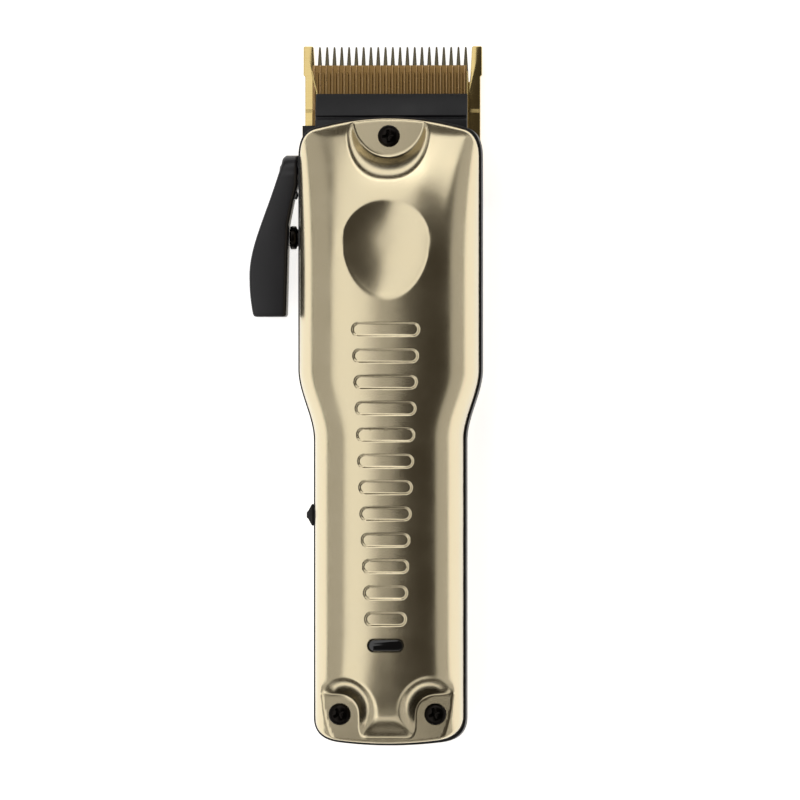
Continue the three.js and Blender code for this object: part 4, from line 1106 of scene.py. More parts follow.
@dataclass(frozen=True)
class RearCover:
    """Rear cover: a metal tray with a flat face to lie on and three sunk screws."""

    form: BodyForm
    wall: float = 1.6
    rounding: float = 3.2
    sink_radius: float = 2.25
    sink_depth: float = 2.0

    def build(self) -> None:
        """Builds the tray, with its rounded long edges, its hollow and its screw sinks."""
        low, high = corners("rear_cover")
        top, rim = float(high[1]), float(high[2])
        rings = []
        for angle in np.linspace(0, math.pi / 2, 12):
            inset = self.rounding * (1 - math.sin(angle))
            rings.append(self.form.ring(inset, self.rounding * (1 - math.cos(angle)), top - inset * 0.35))
        rings += [self.form.ring(0, rim - 0.3, top), self.form.ring(0.12, rim - 0.08, top - 0.12),
                  self.form.ring(0.3, rim, top - 0.3), self.form.ring(self.wall, rim, top - self.wall),
                  self.form.ring(self.wall, self.rounding, top - self.wall),
                  self.form.ring(self.rounding, self.wall, top - self.rounding)]
        points, faces = skin(rings)
        tray = mesh_piece("rear_cover_tray", points, faces, "champagne_metal", 30)
        sinks = []
        for number in (1, 2, 3):
            lower, upper = corners(f"rear_screw_{number}")
            x, y, _ = (lower + upper) / 2
            profile = [(0, -1), (self.sink_radius + 0.25, -1), (self.sink_radius + 0.25, 0.0),
                       (self.sink_radius, 0.25), (self.sink_radius, self.sink_depth), (0, self.sink_depth)]
            # The tray is thinner than the sinks, so a boss keeps each one closed.
            sinks.append(mesh_piece(f"sink_{number}", *lathe(profile, (x, y, 0), "z"), "champagne_metal"))
        ride(carve(tray, sinks), "body", "rear_cover")
        for number in (1, 2, 3):
            lower, upper = corners(f"rear_screw_{number}")
            x, y, _ = (lower + upper) / 2
            profile = [(0, rim), (3.4, rim), (3.4, self.wall - 0.2),
                       (self.sink_radius - 0.02, self.wall - 0.2),
                       (self.sink_radius - 0.02, self.sink_depth), (0, self.sink_depth)]
            boss = mesh_piece(f"rear_cover_boss_{number}", *lathe(profile, (x, y, 0), "z"), "champagne_metal")
            ride(boss, "body")


@dataclass(frozen=True)
class FrameBand:
    """Dark band of the mid frame that shows between the covers, with its openings."""

    form: BodyForm
    proud: float = 0.55
    thick: float = 1.1
    rounding: float = 0.4
    guard_half: float = 19.32
    guard_from: float = 62.0
    guard_z: float = 12.02

    def build(self) -> None:
        """Builds the band round the body and cuts the openings for the lever, switch and charger."""
        low, high = 8.99, self.form.split - 0.29
        out, back = -self.proud, -self.proud + self.rounding
        quarter = self.rounding * 0.3
        profile = [(back, low), (out + quarter, low + 0.06), (out + 0.02, low + 0.22),
                   (out, low + self.rounding),
                   (out, high - self.rounding), (out + 0.02, high - 0.22), (out + quarter, high - 0.06),
                   (back, high), (out + self.thick, high), (out + self.thick, low)]
        rings = []
        for inset, z in profile:
            ring = self.form.ring(inset, z)
            open_part = (np.abs(ring[:, 0]) < self.guard_half) & (ring[:, 1] > self.guard_from)
            ring[:, 2] = np.where(open_part, np.maximum(z, self.guard_z), z)
            rings.append(ring)
        points, faces = skin(rings, closes=True)
        band = mesh_piece("frame_band", points, faces, "black_nylon", 40)
        lever_low, lever_high = corners("taper_lever")
        switch_low, switch_high = corners("switch_knob")
        middle = (switch_low[2] + switch_high[2]) / 2
        centre = (switch_low[1] + switch_high[1]) / 2
        side = -self.form.grip
        cutters = [
            mesh_piece("slot", *block((side - 3, centre - 2.75, middle - 2.0),
                                      (side + 2, centre + 5.75, middle + 2.0)), "black_nylon"),
            mesh_piece("charger_hole", *lathe([(0, -3), (2.6, -3), (2.6, 3), (0, 3)],
                                              (0, self.form.bottom, middle), "y"), "black_nylon"),
            mesh_piece("axle_hole", *lathe([(0, -3), (2.8, -3), (2.8, 3), (0, 3)],
                                           (-self.form.head, lever_high[1] - 4, 12), "x"), "black_nylon"),
        ]
        ride(carve(band, cutters), "body")


# ------------------------------------------------------------------ repeats


def set_input(modifier: bpy.types.Modifier, name: str, value: Any) -> None:
    """Sets a Geometry Nodes modifier's input by the identifier of its named socket.

    Args:
        modifier: A Geometry Nodes modifier.
        name: Name of the input.
        value: What it is set to.
    """
    for item in modifier.node_group.interface.items_tree:
        if item.item_type == "SOCKET" and item.in_out == "INPUT" and item.name == name:
            modifier[item.identifier] = value


def repeat_tree() -> bpy.types.NodeTree:
    """Builds the tree that repeats a mesh along a straight row across the blades.

    Returns:
        A tree with the inputs Count, Pitch, Centre and Finish.
    """
    known = bpy.data.node_groups.get("row_of_teeth")
    if known is not None:
        return known
    tree = bpy.data.node_groups.new("row_of_teeth", "GeometryNodeTree")
    face = tree.interface
    face.new_socket("Geometry", in_out="OUTPUT", socket_type="NodeSocketGeometry")
    face.new_socket("Geometry", in_out="INPUT", socket_type="NodeSocketGeometry")
    for name, kind in (("Count", "Int"), ("Pitch", "Float"), ("Centre", "Float"), ("Finish", "Material")):
        face.new_socket(name, in_out="INPUT", socket_type=f"NodeSocket{kind}")
    given = tree.nodes.new("NodeGroupInput").outputs
    gaps = add_node(tree, "ShaderNodeMath", {0: given["Count"], 1: 1.0}, operation="SUBTRACT").outputs[0]
    length = add_node(tree, "ShaderNodeMath", {0: gaps, 1: given["Pitch"]}, operation="MULTIPLY").outputs[0]
    half = add_node(tree, "ShaderNodeMath", {0: length, 1: -0.5}, operation="MULTIPLY").outputs[0]
    first = add_node(tree, "ShaderNodeMath", {0: half, 1: given["Centre"]}, operation="ADD").outputs[0]
    start = add_node(tree, "ShaderNodeCombineXYZ", {"X": first}).outputs[0]
    step = add_node(tree, "ShaderNodeCombineXYZ", {"X": given["Pitch"]}).outputs[0]
    row = add_node(tree, "GeometryNodeMeshLine", {
        "Count": given["Count"], "Start Location": start, "Offset": step,
    }).outputs["Mesh"]
    many = add_node(tree, "GeometryNodeInstanceOnPoints", {
        "Points": row, "Instance": given["Geometry"],
    }).outputs["Instances"]
    real = add_node(tree, "GeometryNodeRealizeInstances", {"Geometry": many}).outputs["Geometry"]
    dressed = add_node(tree, "GeometryNodeSetMaterial", {
        "Geometry": real, "Material": given["Finish"],
    }).outputs["Geometry"]
    add_node(tree, "NodeGroupOutput", {"Geometry": dressed})
    return tree


def places_tree() -> bpy.types.NodeTree:
    """Builds the tree that puts one mesh at each point, turned by the point's own angle.

    Returns:
        A tree with the inputs Piece and Finish; the points carry an angle named "turn".
    """
    known = bpy.data.node_groups.get("pieces_at_places")
    if known is not None:
        return known
    tree = bpy.data.node_groups.new("pieces_at_places", "GeometryNodeTree")
    face = tree.interface
    face.new_socket("Geometry", in_out="OUTPUT", socket_type="NodeSocketGeometry")
    face.new_socket("Geometry", in_out="INPUT", socket_type="NodeSocketGeometry")
    for name, kind in (("Piece", "Object"), ("Finish", "Material")):
        face.new_socket(name, in_out="INPUT", socket_type=f"NodeSocket{kind}")
    given = tree.nodes.new("NodeGroupInput").outputs
    piece = add_node(tree, "GeometryNodeObjectInfo", {"Object": given["Piece"]}).outputs["Geometry"]
    turn = add_node(tree, "GeometryNodeInputNamedAttribute", {"Name": "turn"}, data_type="FLOAT").outputs[0]
    spin = add_node(tree, "ShaderNodeCombineXYZ", {"Z": turn}).outputs[0]
    many = add_node(tree, "GeometryNodeInstanceOnPoints", {
        "Points": given["Geometry"], "Instance": piece, "Rotation": spin,
    }).outputs["Instances"]
    real = add_node(tree, "GeometryNodeRealizeInstances", {"Geometry": many}).outputs["Geometry"]
    dressed = add_node(tree, "GeometryNodeSetMaterial", {
        "Geometry": real, "Material": given["Finish"],
    }).outputs["Geometry"]
    add_node(tree, "NodeGroupOutput", {"Geometry": dressed})
    return tree


def repeat(
    piece: bpy.types.Object, count: int, pitch: float, centre: float, finish: Finish
) -> bpy.types.Object:
    """Repeats a piece along X and makes the result plain.

    Args:
        piece: The first one, drawn about x = 0.
        count: How many.
        pitch: Spacing in millimetres.
        centre: X of the row's middle in millimetres.
        finish: Finish of the whole row.

    Returns:
        The same object, now the whole row.
    """
    modifier = piece.modifiers.new("row", "NODES")
    modifier.node_group = repeat_tree()
    set_input(modifier, "Count", count)
    set_input(modifier, "Pitch", pitch * MM)
    set_input(modifier, "Centre", centre * MM)
    set_input(modifier, "Finish", finish.build())
    return settle(piece)


@dataclass(frozen=True)
class Screw:
    """A domed cross-head screw; sizes in millimetres, underside of the head at zero."""

    head: float
    rise: float
    shank: float
    length: float

    def mesh(self, name: str, flips: bool) -> bpy.types.Object:
        """Makes one screw at the origin, its head up, or down where it flips.

        Args:
            name: The screw's name.
            flips: True where its head faces down.

        Returns:
            The screw.
        """
        sides = 72
        turn = np.arange(sides) * 2 * math.pi / sides
        rings = [self.circle(turn, 0.01, -self.length), self.circle(turn, self.shank * 0.8, -self.length),
                 self.circle(turn, self.shank, -self.length + 0.3), self.circle(turn, self.shank, 0),
                 self.circle(turn, self.head * 0.96, 0), self.circle(turn, self.head, 0.06),
                 self.circle(turn, self.head, self.rise * 0.22)]
        for share in np.concatenate([[0.99, 0.97], np.linspace(0.94, 0.04, 22)]):
            ring = self.circle(turn, self.head * share, 0)
            dome = self.rise * (0.22 + 0.78 * (1 - share**2.6) ** 0.62)
            x, y = np.abs(ring[:, 0]) / self.head, np.abs(ring[:, 1]) / self.head
            long, wide = np.maximum(x, y), np.minimum(x, y)
            arm = smooth_min((0.60 - long) / 0.16, (0.13 - wide) / 0.05, 0.4)
            core = (0.27 - np.hypot(x, y)) / 0.1
            cross = ramp(smooth_max(arm, core, 0.3)) * (1.0 - 0.55 * long / 0.6)
            ring[:, 2] = dome - self.rise * 0.75 * cross
            rings.append(ring)
        points, faces = skin(rings)
        if flips:
            points = points * (1, -1, -1)
        return mesh_piece(name, points, faces, "black_screw", 42)

    @staticmethod
    def circle(turn: np.ndarray, radius: float, z: float) -> Ring:
        """A ring of points round the screw's axis.

        Args:
            turn: Angles of the points.
            radius: Its radius.
            z: Its height.

        Returns:
            The ring of points.
        """
        return np.stack([radius * np.cos(turn), radius * np.sin(turn), np.full(len(turn), z)], axis=1)


@dataclass(frozen=True)
class ScrewGroup:
    """Screws of one kind on one body, put where the frame's screws are."""

    name: str
    screw: Screw
    body: str
    nodes: tuple[str, ...]
    turns: tuple[float, ...]
    flips: bool = False

    def build(self) -> None:
        """Puts a copy of the screw at each node's place and makes the result plain."""
        places = []
        for node in self.nodes:
            low, high = corners(node)
            level = low[2] + self.screw.rise if self.flips else high[2] - self.screw.rise
            places.append(((low[0] + high[0]) / 2, (low[1] + high[1]) / 2, level))
        mesh = bpy.data.meshes.new(self.name)
        mesh.from_pydata((np.array(places) * MM).tolist(), [], [])
        mesh.attributes.new("turn", "FLOAT", "POINT").data.foreach_set("value", list(self.turns))
        piece = bpy.data.objects.new(self.name, mesh)
        bpy.context.scene.collection.objects.link(piece)
        one = self.screw.mesh(self.name + "_one", self.flips)
        modifier = piece.modifiers.new("places", "NODES")
        modifier.node_group = places_tree()
        set_input(modifier, "Piece", one)
        set_input(modifier, "Finish", SLOT_FINISH["black_screw"].build())
        settle(piece, 42)
        bpy.data.objects.remove(one)
        ride(piece, self.body, *self.nodes)


# ------------------------------------------------------------------ blades


@dataclass(frozen=True)
class FixedBlade:
    """Gold fixed blade: a ground plate with side bars and a row of pointed teeth."""

    pitch: float = 1.83
    side_bar: float = 2.6
    step_back: float = 7.4
    step_in: float = 0.42
    tooth_length: float = 9.0
    groove: tuple[float, float] = (70.45, 71.35)

    def build(self) -> None:
        """Builds the plate and its teeth."""
        low, high = corners("fixed_blade")
        half, rear, tip = float(high[0]), float(low[1]), float(high[1])
        base, top = float(low[2]), float(high[2])
        valley = tip - self.tooth_length
        step = tip - self.step_back
        inner = half - self.side_bar
        right = [(half - self.step_in, rear + 0.3), (half - self.step_in, step - 0.25), (half, step + 0.1),
                 (half, tip - 0.25), (half - 0.25, tip), (inner + 0.4, tip), (inner + 0.1, tip - 0.3),
                 (inner - 0.25, step), (inner - 0.4, valley)]
        shape = [(half - self.step_in - 0.3, rear)] + right
        flat = np.array(shape + [(-x, y) for x, y in reversed(shape)], float)
        rings = [np.column_stack([flat, np.full(len(flat), z)]) for z in (base, top)]
        points, faces = skin(rings)
        plate = soften(mesh_piece("fixed_blade_plate", points, faces, "titanium_gold", 30), 0.16, 2)
        cuts = []
        for side in (-1, 1):
            x0, x1 = sorted((side * (inner - 1.6), side * (half + 1)))
            y0, y1 = self.groove
            groove = block((x0, y0, top - 0.35), (x1, y1, top + 1))
            cuts.append(mesh_piece("groove", *groove, "titanium_gold"))
            x0, x1 = sorted((side * 8.5, side * 15.5))
            slot = block((x0, rear + 8.5, base - 1), (x1, rear + 9.5, base + 0.4))
            cuts.append(mesh_piece("underside_slot", *slot, "titanium_gold"))
        ride(carve(plate, cuts), "blade_carriage", "fixed_blade")
        count = int((2 * half - 2 * self.side_bar) / self.pitch)
        tooth = self.tooth(valley, tip - 0.15, base, top)
        # The teeth take the darker copy of the blade's steel, which paints shade on them.
        ride(repeat(tooth, count, self.pitch, 0.0, SHADED_TOOTH_STEEL), "blade_carriage")

    def tooth(self, valley: float, tip: float, base: float, top: float) -> bpy.types.Object:
        """One tooth: it narrows and thins towards a blunt point.

        Args:
            valley: Y of the tooth's root.
            tip: Y of its point.
            base: Height of its underside.
            top: Height of its upper side.

        Returns:
            The tooth, drawn about x = 0.
        """
        rings = []
        for share in (-0.08, 0.0, 0.3, 0.55, 0.8, 0.94, 0.985, 1.0):
            y = valley + share * (tip - valley)
            narrow = max(share, 0.0)
            half = 0.70 - 0.47 * narrow**1.15
            blunt = {0.985: 0.8, 1.0: 0.42}.get(share, 1.0)
            half *= blunt
            upper = top - 0.02 - 0.75 * max(0.0, narrow - 0.3) / 0.7 - (1 - blunt) * 0.15
            lower = base + 0.02 + 1.35 * max(0.0, narrow - 0.1) / 0.9 + (1 - blunt) * 0.1
            edge = min(0.16, half * 0.5)
            ring = [(-half, lower + edge), (-half + edge, lower), (half - edge, lower), (half, lower + edge),
                    (half, upper - edge), (half - edge, upper), (-half + edge, upper), (-half, upper - edge)]
            rings.append(np.array([(x, y, z) for x, z in ring]))
        points, faces = skin(rings)
        return mesh_piece("fixed_blade_teeth", points, faces, "titanium_gold", 25)


@dataclass(frozen=True)
class Cutter:
    """Bronze cutter: a plate with wide ribs, thin ridges between them and bright side rails."""

    pitch: float = 1.51
    rib_half: float = 0.27
    rib_front: float = 1.85
    ridge_half: float = 0.11
    rear_of_ribs: float = 12.0

    def build(self) -> None:
        """Builds the plate, the two rows and the rails."""
        low, high = corners("cutter")
        base, top, rear, tip = float(low[2]), float(high[2]), float(low[1]), float(high[1])
        middle, half = float(low[0] + high[0]) / 2, float(high[0] - low[0]) / 2
        floor = top - 0.8
        profile = [(rear, base), (tip, base), (tip, base + 0.22), (tip - 1.9, floor),
                   (tip - self.rear_of_ribs, floor), (tip - self.rear_of_ribs, top), (rear, top)]
        ends = (middle - half + 0.3, middle + half - 0.3)
        rings = [np.array([(x, y, z) for y, z in profile]) for x in ends]
        points, faces = skin(rings)
        ride(mesh_piece("cutter_plate", points, faces, "bronze_cutter", 30), "cutter", "cutter")
        count = int((2 * half - 1.4) / self.pitch)
        rib = self.bar("cutter_ribs", self.rib_half, tip - self.rear_of_ribs - 0.2, tip - self.rib_front,
                       floor - 0.1, top, 0.09)
        ride(repeat(rib, count, self.pitch, middle, BRONZE), "cutter")
        ridge = self.bar("cutter_ridges", self.ridge_half, tip - self.rear_of_ribs + 0.8, tip - 0.05,
                         base + 0.02, top - 0.05, 0.1)
        # The ridges take the lighter copy of the bronze coat, which paints highlights on them.
        ride(repeat(ridge, count + 1, self.pitch, middle, RIDGE_HIGHLIGHT), "cutter")
        self.rails(middle, half, rear, tip, base)

    def bar(self, name: str, half: float, rear: float, front: float, low: float, high: float, edge: float
            ) -> bpy.types.Object:
        """A straight rib with chamfered upper edges that slopes down at its front.

        Args:
            name: The piece's name.
            half: Half of its width.
            rear: Y of its rear.
            front: Y of its front.
            low: Height of its foot.
            high: Height of its top.
            edge: Chamfer of its upper edges.

        Returns:
            The rib, drawn about x = 0.
        """
        rings = []
        for y, drop, narrow in ((rear, 0.0, 1.0), (front - 0.5, 0.0, 1.0), (front - 0.12, 0.08, 0.85),
                                (front, 0.25, 0.6)):
            wide, chamfer = half * narrow, min(edge, half * narrow * 0.7)
            ring = [(-wide, low), (wide, low), (wide, high - drop - chamfer),
                    (wide - chamfer * 0.7, high - drop),
                    (-wide + chamfer * 0.7, high - drop), (-wide, high - drop - chamfer)]
            rings.append(np.array([(x, y, z) for x, z in ring]))
        points, faces = skin(rings)
        return mesh_piece(name, points, faces, "bronze_cutter", 25)

    def rails(self, middle: float, half: float, rear: float, tip: float, base: float) -> None:
        """The cutter's bright side rails, which lean in towards the guard.

        Args:
            middle: X of the cutter's middle.
            half: Half of the cutter's width.
            rear: Y of its rear.
            tip: Y of its front.
            base: Height of its underside.
        """
        for side, name in ((-1, "left"), (1, "right")):
            lean = 1.15 if side < 0 else -0.1
            path = [(tip - 1.5, 0.0), (tip - 3.6, lean * 0.35), (tip - 6.8, lean), (rear + 1, lean * 1.02)]
            rings = []
            for y, inward in path:
                x = middle + side * (half + 0.02 - inward)
                rings.append(np.array([(x - side * 0.5, y, base + 0.05), (x, y, base + 0.05),
                                       (x, y, base + 1.2), (x - side * 0.12, y, base + 1.5),
                                       (x - side * 0.38, y, base + 1.62), (x - side * 0.5, y, base + 1.5)]))
            points, faces = skin(rings)
            rail = mesh_piece(f"cutter_rail_{name}", points, faces, "titanium_gold", 25)
            ride(soften(rail, 0.06, 2), "cutter")


@dataclass(frozen=True)
class Guard:
    """Black guard over the cutter, with a bevelled front, a cross groove and a fine moulded face."""

    rounding: float = 0.28

    def build(self) -> None:
        """Builds the guard from its section along the clipper."""
        low, high = corners("cutter_guard")
        rear, front, base, top, half = (float(low[1]), float(high[1]), float(low[2]), float(high[2]),
                                        float(high[0]))
        groove = front - 6.1
        section = [(rear, base), (front - 0.25, base), (front, base + 0.3), (front, base + 1.0),
                   (front - 0.9, base + 1.75), (groove + 0.55, top - 0.32), (groove + 0.3, top - 0.85),
                   (groove - 0.2, top - 0.85), (groove - 0.42, top), (rear, top)]
        rings = [np.array([(x, y, z) for y, z in section]) for x in (-half, half)]
        points, faces = skin(rings)
        guard = mesh_piece("cutter_guard_cover", points, faces, "black_nylon", 15)
        ride(soften(guard, self.rounding, 3, 22), "body", "cutter_guard")


# ------------------------------------------------------------------ lever and small pieces


@dataclass(frozen=True)
class TaperLever:
    """Satin black lever: a boss on the axle and a swelling paddle, with its stop and its plunger."""

    boss_radius: float = 4.0
    corner: float = 0.95
    swell: tuple[float, float] = (3.4, 0.9)
    hollow: tuple[tuple[float, float], ...] = (
        (3.4, 0.0), (7.6, 1.05), (13.2, 2.15), (20.2, 2.4), (36.5, 2.8),
    )
    bore_depth: float = 4.0

    def build(self) -> None:
        """Builds the paddle with its boss, its pivot screw, the stop knob and the plunger."""
        low, high = corners("taper_lever")
        outer, inner = float(low[0]), float(high[0])
        pivot = float(high[1]) - self.boss_radius
        middle = float(low[2] + high[2]) / 2
        half = float(high[2] - low[2]) / 2
        stations = np.concatenate([
            pivot + self.boss_radius * np.cos(np.linspace(0.02, math.pi / 2, 14)),
            np.linspace(pivot, pivot - 7.6, 16)[1:], np.linspace(pivot - 7.6, float(low[1]) + 1.2, 40)[1:],
            float(low[1]) + np.array([0.8, 0.45, 0.2, 0.05, 0.0]),
        ])
        rings = []
        for y in stations:
            out, back = self.outside(y, outer, pivot), self.inside(y, inner, pivot)
            depth = half
            if y > pivot - 1:
                depth = math.sqrt(max(self.boss_radius**2 - max(y - pivot, 0) ** 2, 0.01))
                blend = float(ramp(np.array((pivot - y) / 1.0)))
                depth += (half - depth) * max(0.0, blend)
            end = max(0.0, 0.8 - (y - float(low[1]))) / 0.8
            shrink = 0.8 * (1 - math.sqrt(max(0.0, 1 - end**2)))
            shrink *= 0.6
            rings.append(self.section(out + shrink, back - shrink, y, middle, depth - shrink))
        points, faces = skin(rings)
        paddle = mesh_piece("taper_lever_paddle", points, faces, "black_lever", 50)
        face = self.outside(pivot, outer, pivot)
        sink = lathe([(0, -3), (2.3, -3), (2.3, 0.75), (0, 0.75)], (face, pivot, middle), "x")
        bore = lathe([(0, -self.bore_depth), (1.5, -self.bore_depth), (1.5, 3), (0, 3)],
                     (inner, pivot - 5.9, middle), "x")
        cutters = [mesh_piece("sink", *sink, "black_lever"), mesh_piece("bore", *bore, "black_lever")]
        ride(carve(paddle, cutters), "taper_lever", "taper_lever")
        self.pivot_screw(face + 0.8, pivot, middle)
        self.stop_knob()
        self.plunger()

    def section(self, out: float, back: float, y: float, middle: float, depth: float) -> Ring:
        """A ring with round corners across the lever.

        Args:
            out: X of the outer face.
            back: X of the inner face.
            y: Place along.
            middle: Height of the middle.
            depth: Half of the thickness.

        Returns:
            The ring of points.
        """
        half = (back - out) / 2
        radius = min(self.corner, half * 0.9, depth * 0.9)
        ring = []
        for quarter in range(4):
            for k in range(7):
                a = math.pi / 2 * (quarter + k / 6)
                sx = 1 if quarter in (0, 3) else -1
                sz = 1 if quarter in (0, 1) else -1
                ring.append(((out + back) / 2 + sx * (half - radius) + radius * math.cos(a), y,
                             middle + sz * (depth - radius) + radius * math.sin(a)))
        return np.array(ring)

    def outside(self, y: float, outer: float, pivot: float) -> float:
        """X of the lever's outer face at a place along it.

        Args:
            y: Place along.
            outer: X of the outermost point.
            pivot: Y of the axle.

        Returns:
            X of the face.
        """
        start = (outer + 7.9, pivot + 1.4)
        ends = [start, (outer + 0.5 + self.swell[0], pivot - 12), (outer + 0.5 - self.swell[1], pivot - 19),
                (outer, pivot - 27.4)]
        t = np.linspace(0, 1, 60)[:, None]
        curve = sum(w * np.array(p) for w, p in zip(
            ((1 - t) ** 3, 3 * t * (1 - t) ** 2, 3 * t * t * (1 - t), t**3), ends))
        if y > start[1]:
            over = y - start[1]
            return float(start[0] + 0.45 * over / 2.6 + 0.7 * max(0.0, (over - 1.4) / 1.2) ** 2)
        if y >= pivot - 27.4:
            return float(np.interp(-y, -curve[:, 1], curve[:, 0]))
        return float(outer + 1.0 * ((pivot - 27.4 - y) / 9.0) ** 1.9)

    def inside(self, y: float, inner: float, pivot: float) -> float:
        """X of the lever's inner face at a place along it.

        Args:
            y: Place along.
            inner: X of the boss's inner face.
            pivot: Y of the axle.

        Returns:
            X of the face.
        """
        below, inset = zip(*self.hollow)
        return inner - float(np.interp(pivot - y, below, inset))

    def pivot_screw(self, under: float, pivot: float, middle: float) -> None:
        """The screw that holds the lever on its axle, its head facing out.

        Args:
            under: X of the underside of its head.
            pivot: Y of the axle.
            middle: Height of the axle.
        """
        screw = Screw(1.9, 1.0, 0.9, 4.5).mesh("lever_pivot_screw_head", False)
        turn = Matrix.Translation(Vector((under, pivot, middle)) * MM) @ Matrix.Rotation(-math.pi / 2, 4, "Y")
        screw.data.transform(turn)
        ride(screw, "taper_lever", "lever_pivot_screw")

    def stop_knob(self) -> None:
        """The turned stop with a flange and a thinner neck."""
        low, high = corners("lever_stop_knob")
        centre = (0.0, float(low[1] + high[1]) / 2, float(low[2] + high[2]) / 2)
        face = float(low[0])
        profile = [(0, 0), (2.3, 0), (2.75, 0.12), (2.95, 0.42), (2.95, 1.35), (2.8, 1.62), (2.35, 1.75),
                   (2.15, 1.95), (2.15, 2.25), (1.2, 2.3), (1.2, 4.8), (0, 4.8)]
        points, faces = lathe([(r, face + d) for r, d in profile], centre, "x", 64)
        ride(mesh_piece("lever_stop", points, faces, "black_screw", 30), "body", "lever_stop_knob")

    def plunger(self) -> None:
        """The sprung detent with a rounded tip."""
        low, high = corners("detent_plunger")
        centre = (0.0, float(low[1] + high[1]) / 2, float(low[2] + high[2]) / 2)
        tip, radius = float(high[0]), float(high[1] - low[1]) / 2
        profile = [(0, float(low[0])), (radius, float(low[0])), (radius, tip - 0.5)]
        profile += [(radius * math.cos(a), tip - 0.5 + 0.5 * math.sin(a)) for a in (0.4, 0.8, 1.15, 1.4)]
        points, faces = lathe([*profile, (0, tip)], centre, "x", 40)
        ride(mesh_piece("detent_pin", points, faces, "bare_steel", 30), "detent_plunger", "detent_plunger")


@dataclass(frozen=True)
class SlideSwitch:
    """The power switch's nub outside the frame and its neck through the slot."""

    form: BodyForm

    def build(self) -> None:
        """Builds the nub and rides it on the switch's own body."""
        low, high = corners("switch_knob")
        centre, middle = float(low[1] + high[1]) / 2, float(low[2] + high[2]) / 2
        out = float(low[0])
        base = -self.form.grip - 0.8
        section = [(base, -2.7), (base - 0.3, -2.7), (out + 0.35, -0.95), (out, -0.7), (out, 0.7),
                   (out + 0.35, 0.95), (base - 0.3, 2.7), (base, 2.7)]
        tall = float(high[2] - low[2]) / 2
        rings = [np.array([(x, centre + y, middle + z) for x, y in section]) for z in (-tall, tall)]
        points, faces = skin(rings)
        nub = soften(mesh_piece("power_switch_nub", points, faces, "black_nylon", 20), 0.22, 3, 25)
        ride(nub, "power_switch", "switch_knob")
        neck = mesh_piece("power_switch_neck", *block(
            (base - 0.1, centre - 2.4, middle - 1.7), (float(high[0]), centre + 2.4, middle + 1.7),
        ), "black_nylon")
        ride(soften(neck, 0.15, 2), "power_switch")


@dataclass(frozen=True)
class Charger:
    """The charging inlet in the bottom end: a round nose, its housing and its pin."""

    nose: float = 2.4
    bore: float = 1.75

    def build(self) -> None:
        """Builds the inlet with a lipped nose and a pin with a round tip."""
        low, high = corners("charging_jack")
        middle = float(low[2] + high[2]) / 2
        front, rear = float(low[1]), float(high[1])
        profile = [(self.bore, front + 7), (self.bore, front + 0.4), (self.bore + 0.15, front + 0.1),
                   (self.bore + 0.3, front), (self.nose - 0.15, front), (self.nose, front + 0.15),
                   (self.nose, front + 3.4)]
        housing = float(high[0])
        profile += [(housing * 0.98, front + 3.4), (housing * 0.98, rear), (0, rear), (0, front + 7)]
        points, faces = lathe(profile, (0, 0, middle), "y", 64)
        ride(mesh_piece("charging_inlet", points, faces, "black_nylon", 30), "body", "charging_jack")
        low, high = corners("charging_pin")
        radius, tip, root = float(high[0]), float(low[1]), float(high[1])
        profile = [(0, root), (radius, root), (radius, tip + 0.4)]
        profile += [(radius * math.cos(a), tip + 0.4 - 0.4 * math.sin(a)) for a in (0.4, 0.8, 1.2)]
        points, faces = lathe([*profile, (0, tip)], (0, 0, middle), "y", 32)
        ride(mesh_piece("charging_pin_round", points, faces, "brass_metal", 30), "body", "charging_pin")


# ------------------------------------------------------------------ works and studio


class Works:
    """The CAD pieces that stay as they are, each dressed in its slot's finish."""

    def __init__(self) -> None:
        """Reads which slot each CAD node takes."""
        self.slots: dict[str, str] = {p["node"]: p["material_slot"] for p in frame["record"]["subparts"]}

    def build(self) -> None:
        """Gives every CAD node its real finish."""
        for name, node in frame["nodes"].items():
            node.data.materials.clear()
            node.data.materials.append(SLOT_FINISH[self.slots[name]].build())
            log.info("%s: carried over in %s", name, self.slots[name])


@dataclass(frozen=True)
class Lamp:
    """One soft rectangular lamp, aimed at the clipper."""

    name: str
    place: tuple[float, float, float]
    size: tuple[float, float]
    power: float
    aim: tuple[float, float, float] = (0.0, -0.01, 0.02)

    def build(self) -> None:
        """Adds the lamp to the scene."""
        data = bpy.data.lights.new(self.name, "AREA")
        data.shape = "RECTANGLE"
        data.size, data.size_y = self.size
        data.energy = self.power
        made = bpy.data.objects.new(self.name, data)
        made.location = self.place
        towards = Vector(self.aim) - Vector(self.place)
        made.rotation_euler = towards.to_track_quat("-Z", "Y").to_euler()
        bpy.context.scene.collection.objects.link(made)


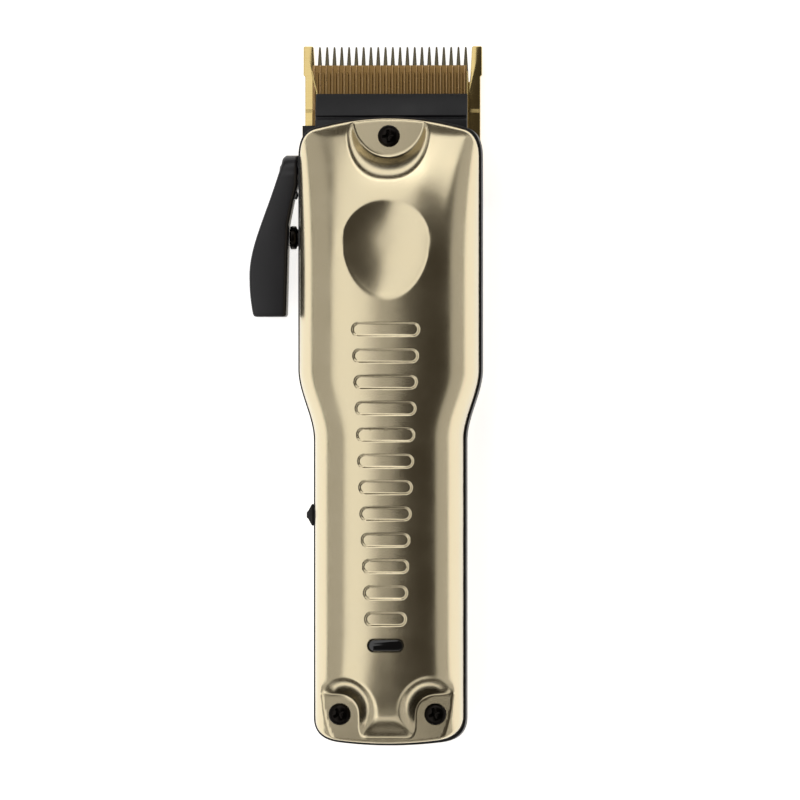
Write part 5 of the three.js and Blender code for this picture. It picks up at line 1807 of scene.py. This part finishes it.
@dataclass
class Studio:
    """Pale floor, soft lamps and a long-lens camera over the clipper.

    Attributes:
        lean_right: Degrees by which the camera stands to the right of straight above.
        lean_down: Degrees by which it stands towards the clipper's bottom.
        distance: Metres from the middle to the camera.
        field_width: Metres across the picture.
        table_glow: Light of the lit table under the paper.
        middle: The point that the camera looks at.
        lamps: The softboxes.
    """

    lean_right: float = 3.8
    lean_down: float = 0.8
    distance: float = 5.0
    field_width: float = 0.2
    table_glow: float = 0.72
    middle: tuple[float, float, float] = (0.0023, -0.0016, 0.012)
    lamps: list[Lamp] = field(default_factory=lambda: [
        Lamp("softbox_left", (-0.42, 0.1, 1.0), (2.6, 0.72), 6.2),
        Lamp("softbox_low_left", (-1.0, 0.1, 0.465), (2.6, 0.8), 2.9),
        Lamp("softbox_right", (1.08, 0.0, 0.40), (2.4, 0.72), 2.6),
        Lamp("softbox_far", (0.3, 0.85, 0.70), (0.9, 0.4), 1.5),
        Lamp("softbox_near", (0.05, -0.9, 0.75), (1.3, 0.5), 1.4),
    ])

    def build(self) -> None:
        """Adds the floor, the lamps, the surroundings and the camera."""
        size = 3.0
        mesh = bpy.data.meshes.new("studio_floor")
        square = [(-size, -size, 0), (size, -size, 0), (size, size, 0), (-size, size, 0)]
        mesh.from_pydata(square, [], [(0, 1, 2, 3)])
        floor = bpy.data.objects.new("studio_floor", mesh)
        mesh.materials.append(self.floor_material())
        bpy.context.scene.collection.objects.link(floor)
        for lamp in self.lamps:
            lamp.build()
        world = bpy.data.worlds.new("studio")
        bpy.context.scene.world = world
        world.use_nodes = True
        background = world.node_tree.nodes["Background"]
        background.inputs["Color"].default_value = linear("fff0dc")
        background.inputs["Strength"].default_value = 0.05
        bpy.context.scene.view_settings.view_transform = "Standard"
        self.camera()

    def floor_material(self) -> bpy.types.Material:
        """Matt near-white paper on a lit table, with a faint unevenness."""
        made = bpy.data.materials.new("paper_backdrop_white")
        made.use_nodes = True
        tree = made.node_tree
        tree.nodes.clear()
        place = add_node(tree, "ShaderNodeTexCoord").outputs["Object"]
        cloud = add_node(tree, "ShaderNodeTexNoise", {"Vector": place, "Scale": 3.0}).outputs["Fac"]
        colour = add_node(tree, "ShaderNodeMix", {
            0: cloud, 6: linear("fbfbfb"), 7: linear("ffffff"),
        }, data_type="RGBA").outputs[2]
        paper = add_node(tree, "ShaderNodeBsdfDiffuse", {"Color": colour}).outputs[0]
        glow = add_node(tree, "ShaderNodeEmission", {
            "Color": linear("ffffff"), "Strength": self.table_glow,
        }).outputs[0]
        both = add_node(tree, "ShaderNodeAddShader", {0: paper, 1: glow}).outputs[0]
        add_node(tree, "ShaderNodeOutputMaterial", {"Surface": both})
        return made

    def camera(self) -> None:
        """Adds the camera: nearly straight above, a little to the right and towards the bottom."""
        data = bpy.data.cameras.new("camera")
        data.sensor_width = 36.0
        data.lens = 36.0 * self.distance / self.field_width
        data.clip_end = 20.0
        made = bpy.data.objects.new("camera", data)
        right, down = math.radians(self.lean_right), math.radians(self.lean_down)
        away = Vector((math.sin(right), -math.sin(down), math.cos(right) * math.cos(down))).normalized()
        place = Vector(self.middle) + away * self.distance
        upright = Vector((0, 1, 0))
        across = upright.cross(away).normalized()
        up = away.cross(across)
        turn = Matrix((across, up, away)).transposed().to_4x4()
        made.matrix_world = Matrix.Translation(place) @ turn
        bpy.context.scene.collection.objects.link(made)
        bpy.context.scene.camera = made


def main() -> None:
    """Builds every sub-assembly in order."""
    logging.basicConfig(level=logging.INFO, format="%(name)s: %(message)s")
    form = BodyForm.from_frame()
    Works().build()
    big, small = Screw(2.75, 1.5, 1.3, 3.0), Screw(1.9, 1.1, 0.9, 3.4)
    for part in (
        FrontCover(form, GripRecesses()),
        RearCover(form),
        FrameBand(form),
        ScrewGroup("cover_screws", big, "body", ("cover_screw_top", "cover_screw_left", "cover_screw_right"),
                   (0.1, 0.5, 0.35)),
        ScrewGroup("rear_screws", small, "body", ("rear_screw_1", "rear_screw_2", "rear_screw_3"),
                   (0.3, 1.0, 0.6), True),
        ScrewGroup("blade_screws", small, "blade_carriage", ("blade_screw_left", "blade_screw_right"),
                   (0.2, 0.8), True),
        FixedBlade(),
        Cutter(),
        Guard(),
        TaperLever(),
        SlideSwitch(form),
        Charger(),
        Studio(),
    ):
        part.build()
        log.info("%s done", type(part).__name__)


if __name__ == "__main__":
    main()
